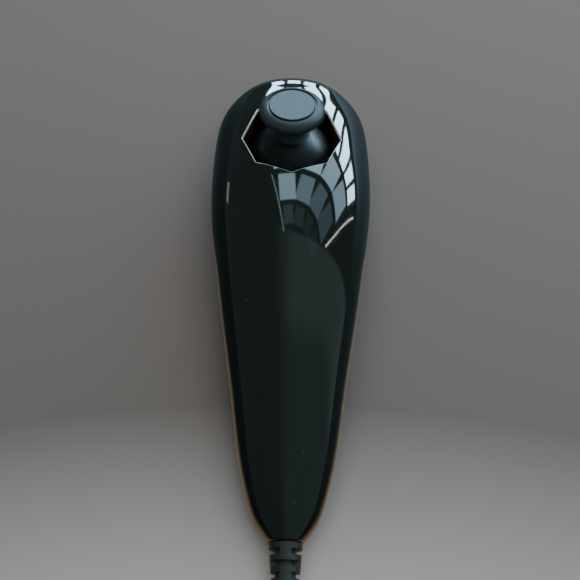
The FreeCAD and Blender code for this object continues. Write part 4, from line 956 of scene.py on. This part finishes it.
# the floor's colour by distance from the middle of the painted pool of light, in metres; the last is
# the plain table's own
TABLE_AND_PAINTED_POOL_COLOURS = (
    (0.055, (0.50, 0.465, 0.47)),
    (0.097, (0.155, 0.128, 0.116)),
    (0.20, (0.205, 0.156, 0.140)),
)
bpy.ops.object.select_all(action="DESELECT")
bpy.ops.mesh.primitive_plane_add(size=8.0, location=(0, 0, 0))
floor = bpy.context.object
floor.name = "floor"
floor_with_painted_light, floor_shader = principled("floor_with_painted_light", TABLE_AND_PAINTED_POOL_COLOURS[-1][1], FLOOR_ROUGHNESS)
floor.data.materials.append(floor_with_painted_light)
floor_tree = floor_with_painted_light.node_tree
link = floor_tree.links.new
floor_place = floor_tree.nodes.new("ShaderNodeTexCoord")
painted_pool_place = floor_tree.nodes.new("ShaderNodeMapping")
painted_pool_place.inputs["Location"].default_value = (0, -PAINTED_POOL_MIDDLE_Y, 0)
painted_pool_place.inputs["Scale"].default_value = (1 / PAINTED_POOL_WIDTH, 1, 1)
painted_pool_distance = floor_tree.nodes.new("ShaderNodeVectorMath")
painted_pool_distance.operation = "LENGTH"
link(floor_place.outputs["Object"], painted_pool_place.inputs["Vector"])
link(painted_pool_place.outputs["Vector"], painted_pool_distance.inputs[0])
painted_pool_start, painted_pool_end = TABLE_AND_PAINTED_POOL_COLOURS[0][0], TABLE_AND_PAINTED_POOL_COLOURS[-1][0]
# the painted pool of light fades out from its middle
painted_pool_fade = map_range(floor_tree, painted_pool_distance.outputs["Value"], 0.0, 1.0,
                       start=painted_pool_start, end=painted_pool_end)
table_and_painted_pool_ramp = floor_tree.nodes.new("ShaderNodeValToRGB")
link(painted_pool_fade, table_and_painted_pool_ramp.inputs["Fac"])
table_and_painted_pool_stops = table_and_painted_pool_ramp.color_ramp.elements
table_and_painted_pool_stops.new((TABLE_AND_PAINTED_POOL_COLOURS[1][0] - painted_pool_start) / (painted_pool_end - painted_pool_start))
for stop, (_, colour) in zip(table_and_painted_pool_stops, TABLE_AND_PAINTED_POOL_COLOURS):
    stop.color = (*colour, 1.0)
print("floor stops", [round(stop.position, 3) for stop in table_and_painted_pool_stops])

# %% [markdown]
# What the gloss mirrors. The black sides of the casing mirror the table beside them, as a thin warm
# line along the edge and black above it. That line is a painted reflection: for mirrored rays only,
# the floor is painted warm close to the casing and dark beyond.

# %% Painted reflection of the floor in the gloss
# colours of the painted reflection: warm close to the casing, dark beyond
PAINTED_REFLECTION_NEAR, PAINTED_REFLECTION_FAR = (0.60, 0.40, 0.22), (0.016, 0.017, 0.016)
CASING_SIDE, CASING_TAPER = 0.0155, 0.10
PAINTED_REFLECTION_REACH, PAINTED_REFLECTION_FRONT = 0.012, 0.012
floor_axes = floor_tree.nodes.new("ShaderNodeSeparateXYZ")
floor_path = floor_tree.nodes.new("ShaderNodeLightPath")
link(floor_place.outputs["Object"], floor_axes.inputs["Vector"])
beside = arithmetic(floor_tree, "ABSOLUTE", floor_axes.outputs["X"])
side_line = arithmetic(floor_tree, "MULTIPLY", floor_axes.outputs["Y"], CASING_TAPER)
past_front = arithmetic(floor_tree, "SUBTRACT", floor_axes.outputs["Y"], PAINTED_REFLECTION_FRONT)
past_front = arithmetic(floor_tree, "MAXIMUM", past_front, 0.0)
from_side = arithmetic(floor_tree, "SUBTRACT", beside, side_line)
from_side = arithmetic(floor_tree, "SUBTRACT", from_side, CASING_SIDE)
from_side = arithmetic(floor_tree, "ADD", from_side, past_front)
painted_reflection_fade = map_range(floor_tree, from_side, 0.0, 1.0, start=0.0, end=PAINTED_REFLECTION_REACH)
painted_reflection_colour = mix_colour(floor_tree, painted_reflection_fade, PAINTED_REFLECTION_NEAR, PAINTED_REFLECTION_FAR)
# other rays see the table with its painted pool of light; mirrored rays see the painted reflection
table_and_painted_light_colour = mix_colour(floor_tree, floor_path.outputs["Is Glossy Ray"],
                          table_and_painted_pool_ramp.outputs["Color"], painted_reflection_colour)
link(table_and_painted_light_colour, floor_shader.inputs["Base Color"])
print("floor nodes", len(floor_tree.nodes))

# %% [markdown]
# The world. A room is dim below and lighter towards its ceiling, and the body of the
# casing mirrors that ceiling as one calm, slightly lighter field with a curved front
# edge. A dim even world with one brighter side overhead gives the same field. What
# the camera sees behind the floor is a plain backdrop of its own.

# %% World
WORLD_DIM, WORLD_CEILING = 0.16, 0.50
CEILING_FRONT, CEILING_SLANT, CEILING_BLUR = 0.26, 0.19, 0.012
CEILING_COLOUR, BACKDROP_COLOUR = (0.70, 0.98, 0.94, 1), (0.30, 0.285, 0.275, 1)
world = bpy.data.worlds.new("studio")
scene.world = world
world.use_nodes = True
sky = world.node_tree
link = sky.links.new
sky_place = sky.nodes.new("ShaderNodeTexCoord")
sky_axes = sky.nodes.new("ShaderNodeSeparateXYZ")
link(sky_place.outputs["Generated"], sky_axes.inputs["Vector"])
slanted = arithmetic(sky, "MULTIPLY_ADD", sky_axes.outputs["X"], CEILING_SLANT,
                     sky_axes.outputs["Y"])
# the ceiling ends at the front, fades to the left and dims a little to the tail
ceiling_edge = map_range(sky, slanted, 0.0, 1.0, start=CEILING_FRONT,
                         end=CEILING_FRONT - CEILING_BLUR)
ceiling_side = map_range(sky, sky_axes.outputs["X"], 0.07, 1.0, start=-0.16, end=0.05)
ceiling_tail = map_range(sky, sky_axes.outputs["Y"], 0.42, 1.0, start=-0.13, end=-0.06)
ceiling = arithmetic(sky, "MULTIPLY", ceiling_edge, ceiling_side)
ceiling = arithmetic(sky, "MULTIPLY", ceiling, ceiling_tail)
room = sky.nodes["Background"]
room.inputs["Color"].default_value = CEILING_COLOUR
link(map_range(sky, ceiling, WORLD_DIM, WORLD_CEILING), room.inputs["Strength"])
backdrop = sky.nodes.new("ShaderNodeBackground")
backdrop.inputs["Color"].default_value = BACKDROP_COLOUR
seen = sky.nodes.new("ShaderNodeLightPath")
either = sky.nodes.new("ShaderNodeMixShader")
link(seen.outputs["Is Camera Ray"], either.inputs["Fac"])
link(room.outputs[0], either.inputs[1])
link(backdrop.outputs[0], either.inputs[2])
link(either.outputs[0], sky.nodes["World Output"].inputs["Surface"])
print("world nodes", len(sky.nodes))


# %% [markdown]
# The lamps. Gloss black shows only what it reflects, so the key light is a tall window
# of separate panes ahead and to the right: its glazing bars draw the curve of the
# head, and thin strips beside it draw long fine lines. The panes dim upwards and to
# the right, as a window under an eave does, and the lowest row has twice as many. A
# soft top light that the gloss doesn't mirror lights the rubber and the floor.

# %% Lamps
LAMP_DISTANCE = 1.6
HEAD_PLACE = Vector((0, 0.02, 0.02))


def soft_box(name, azimuth, elevation, width, height, radiance, colour):
    """A lamp facing the head from a direction; azimuth 0 is ahead, 90 to the right."""
    azimuth, elevation = math.radians(azimuth), math.radians(elevation)
    level = math.cos(elevation)
    out = Vector((math.sin(azimuth) * level, math.cos(azimuth) * level, math.sin(elevation)))
    light = bpy.data.lights.new(name, "AREA")
    light.shape = "RECTANGLE"
    light.size, light.size_y = width, height
    light.energy = radiance * math.pi * width * height
    light.color = colour
    lamp = bpy.data.objects.new(name, light)
    scene.collection.objects.link(lamp)
    lamp.location = out * LAMP_DISTANCE + HEAD_PLACE
    lamp.rotation_mode = "QUATERNION"
    lamp.rotation_quaternion = out.to_track_quat("Z", "Y")
    return lamp


DAYLIGHT = (0.54, 0.82, 1.0)
PALE_DAYLIGHT = (0.9, 0.97, 1.0)
WINDOW_LEFT, WINDOW_SPAN = -14, 80
# elevation, height, radiance of the first pane, the share that each next pane keeps,
# the number of panes and the share of its place that a pane's glass fills
WINDOW_ROWS = (
    (15, 0.50, 36.0, 0.95, 8, 0.74),
    (37, 0.50, 9.0, 0.78, 4, 0.868),
    (57, 0.40, 4.5, 0.55, 4, 0.868),
    (70, 0.20, 0.6, 0.60, 4, 0.868),
)
for row, (elevation, height, radiance, keep, panes, glass) in enumerate(WINDOW_ROWS):
    for column in range(panes):
        azimuth = WINDOW_LEFT + WINDOW_SPAN * (column + 0.5) / panes
        place_width = math.radians(WINDOW_SPAN / panes) * LAMP_DISTANCE
        width = place_width * glass * math.cos(math.radians(elevation))
        pane = soft_box(f"pane_{row}_{column}", azimuth, elevation, width, height,
                        radiance * keep ** column, DAYLIGHT)
        pane.visible_diffuse = False
# azimuth, elevation, width, height, radiance and colour
STRIPS = {
    "side_strip": (71, 34, 0.010, 1.5, 22.0, PALE_DAYLIGHT),
    "left_strip": (-17, 62, 0.016, 0.75, 3.0, (0.7, 0.95, 0.95)),
    "left_glow": (-62, 8, 0.25, 0.16, 1.6, PALE_DAYLIGHT),
}
for name, strip in STRIPS.items():
    soft_box(name, *strip)
top_fill = soft_box("top_fill", 30, 80, 1.8, 1.8, 1.9, (1.0, 0.955, 0.93))
top_fill.visible_glossy = False
print("lamps", len(bpy.data.lights))

# %% [markdown]
# Dressing a model must not change how large it is. The view layer is brought up to date once every
# piece is dressed.

# %% Bring the view layer up to date
bpy.context.view_layer.update()
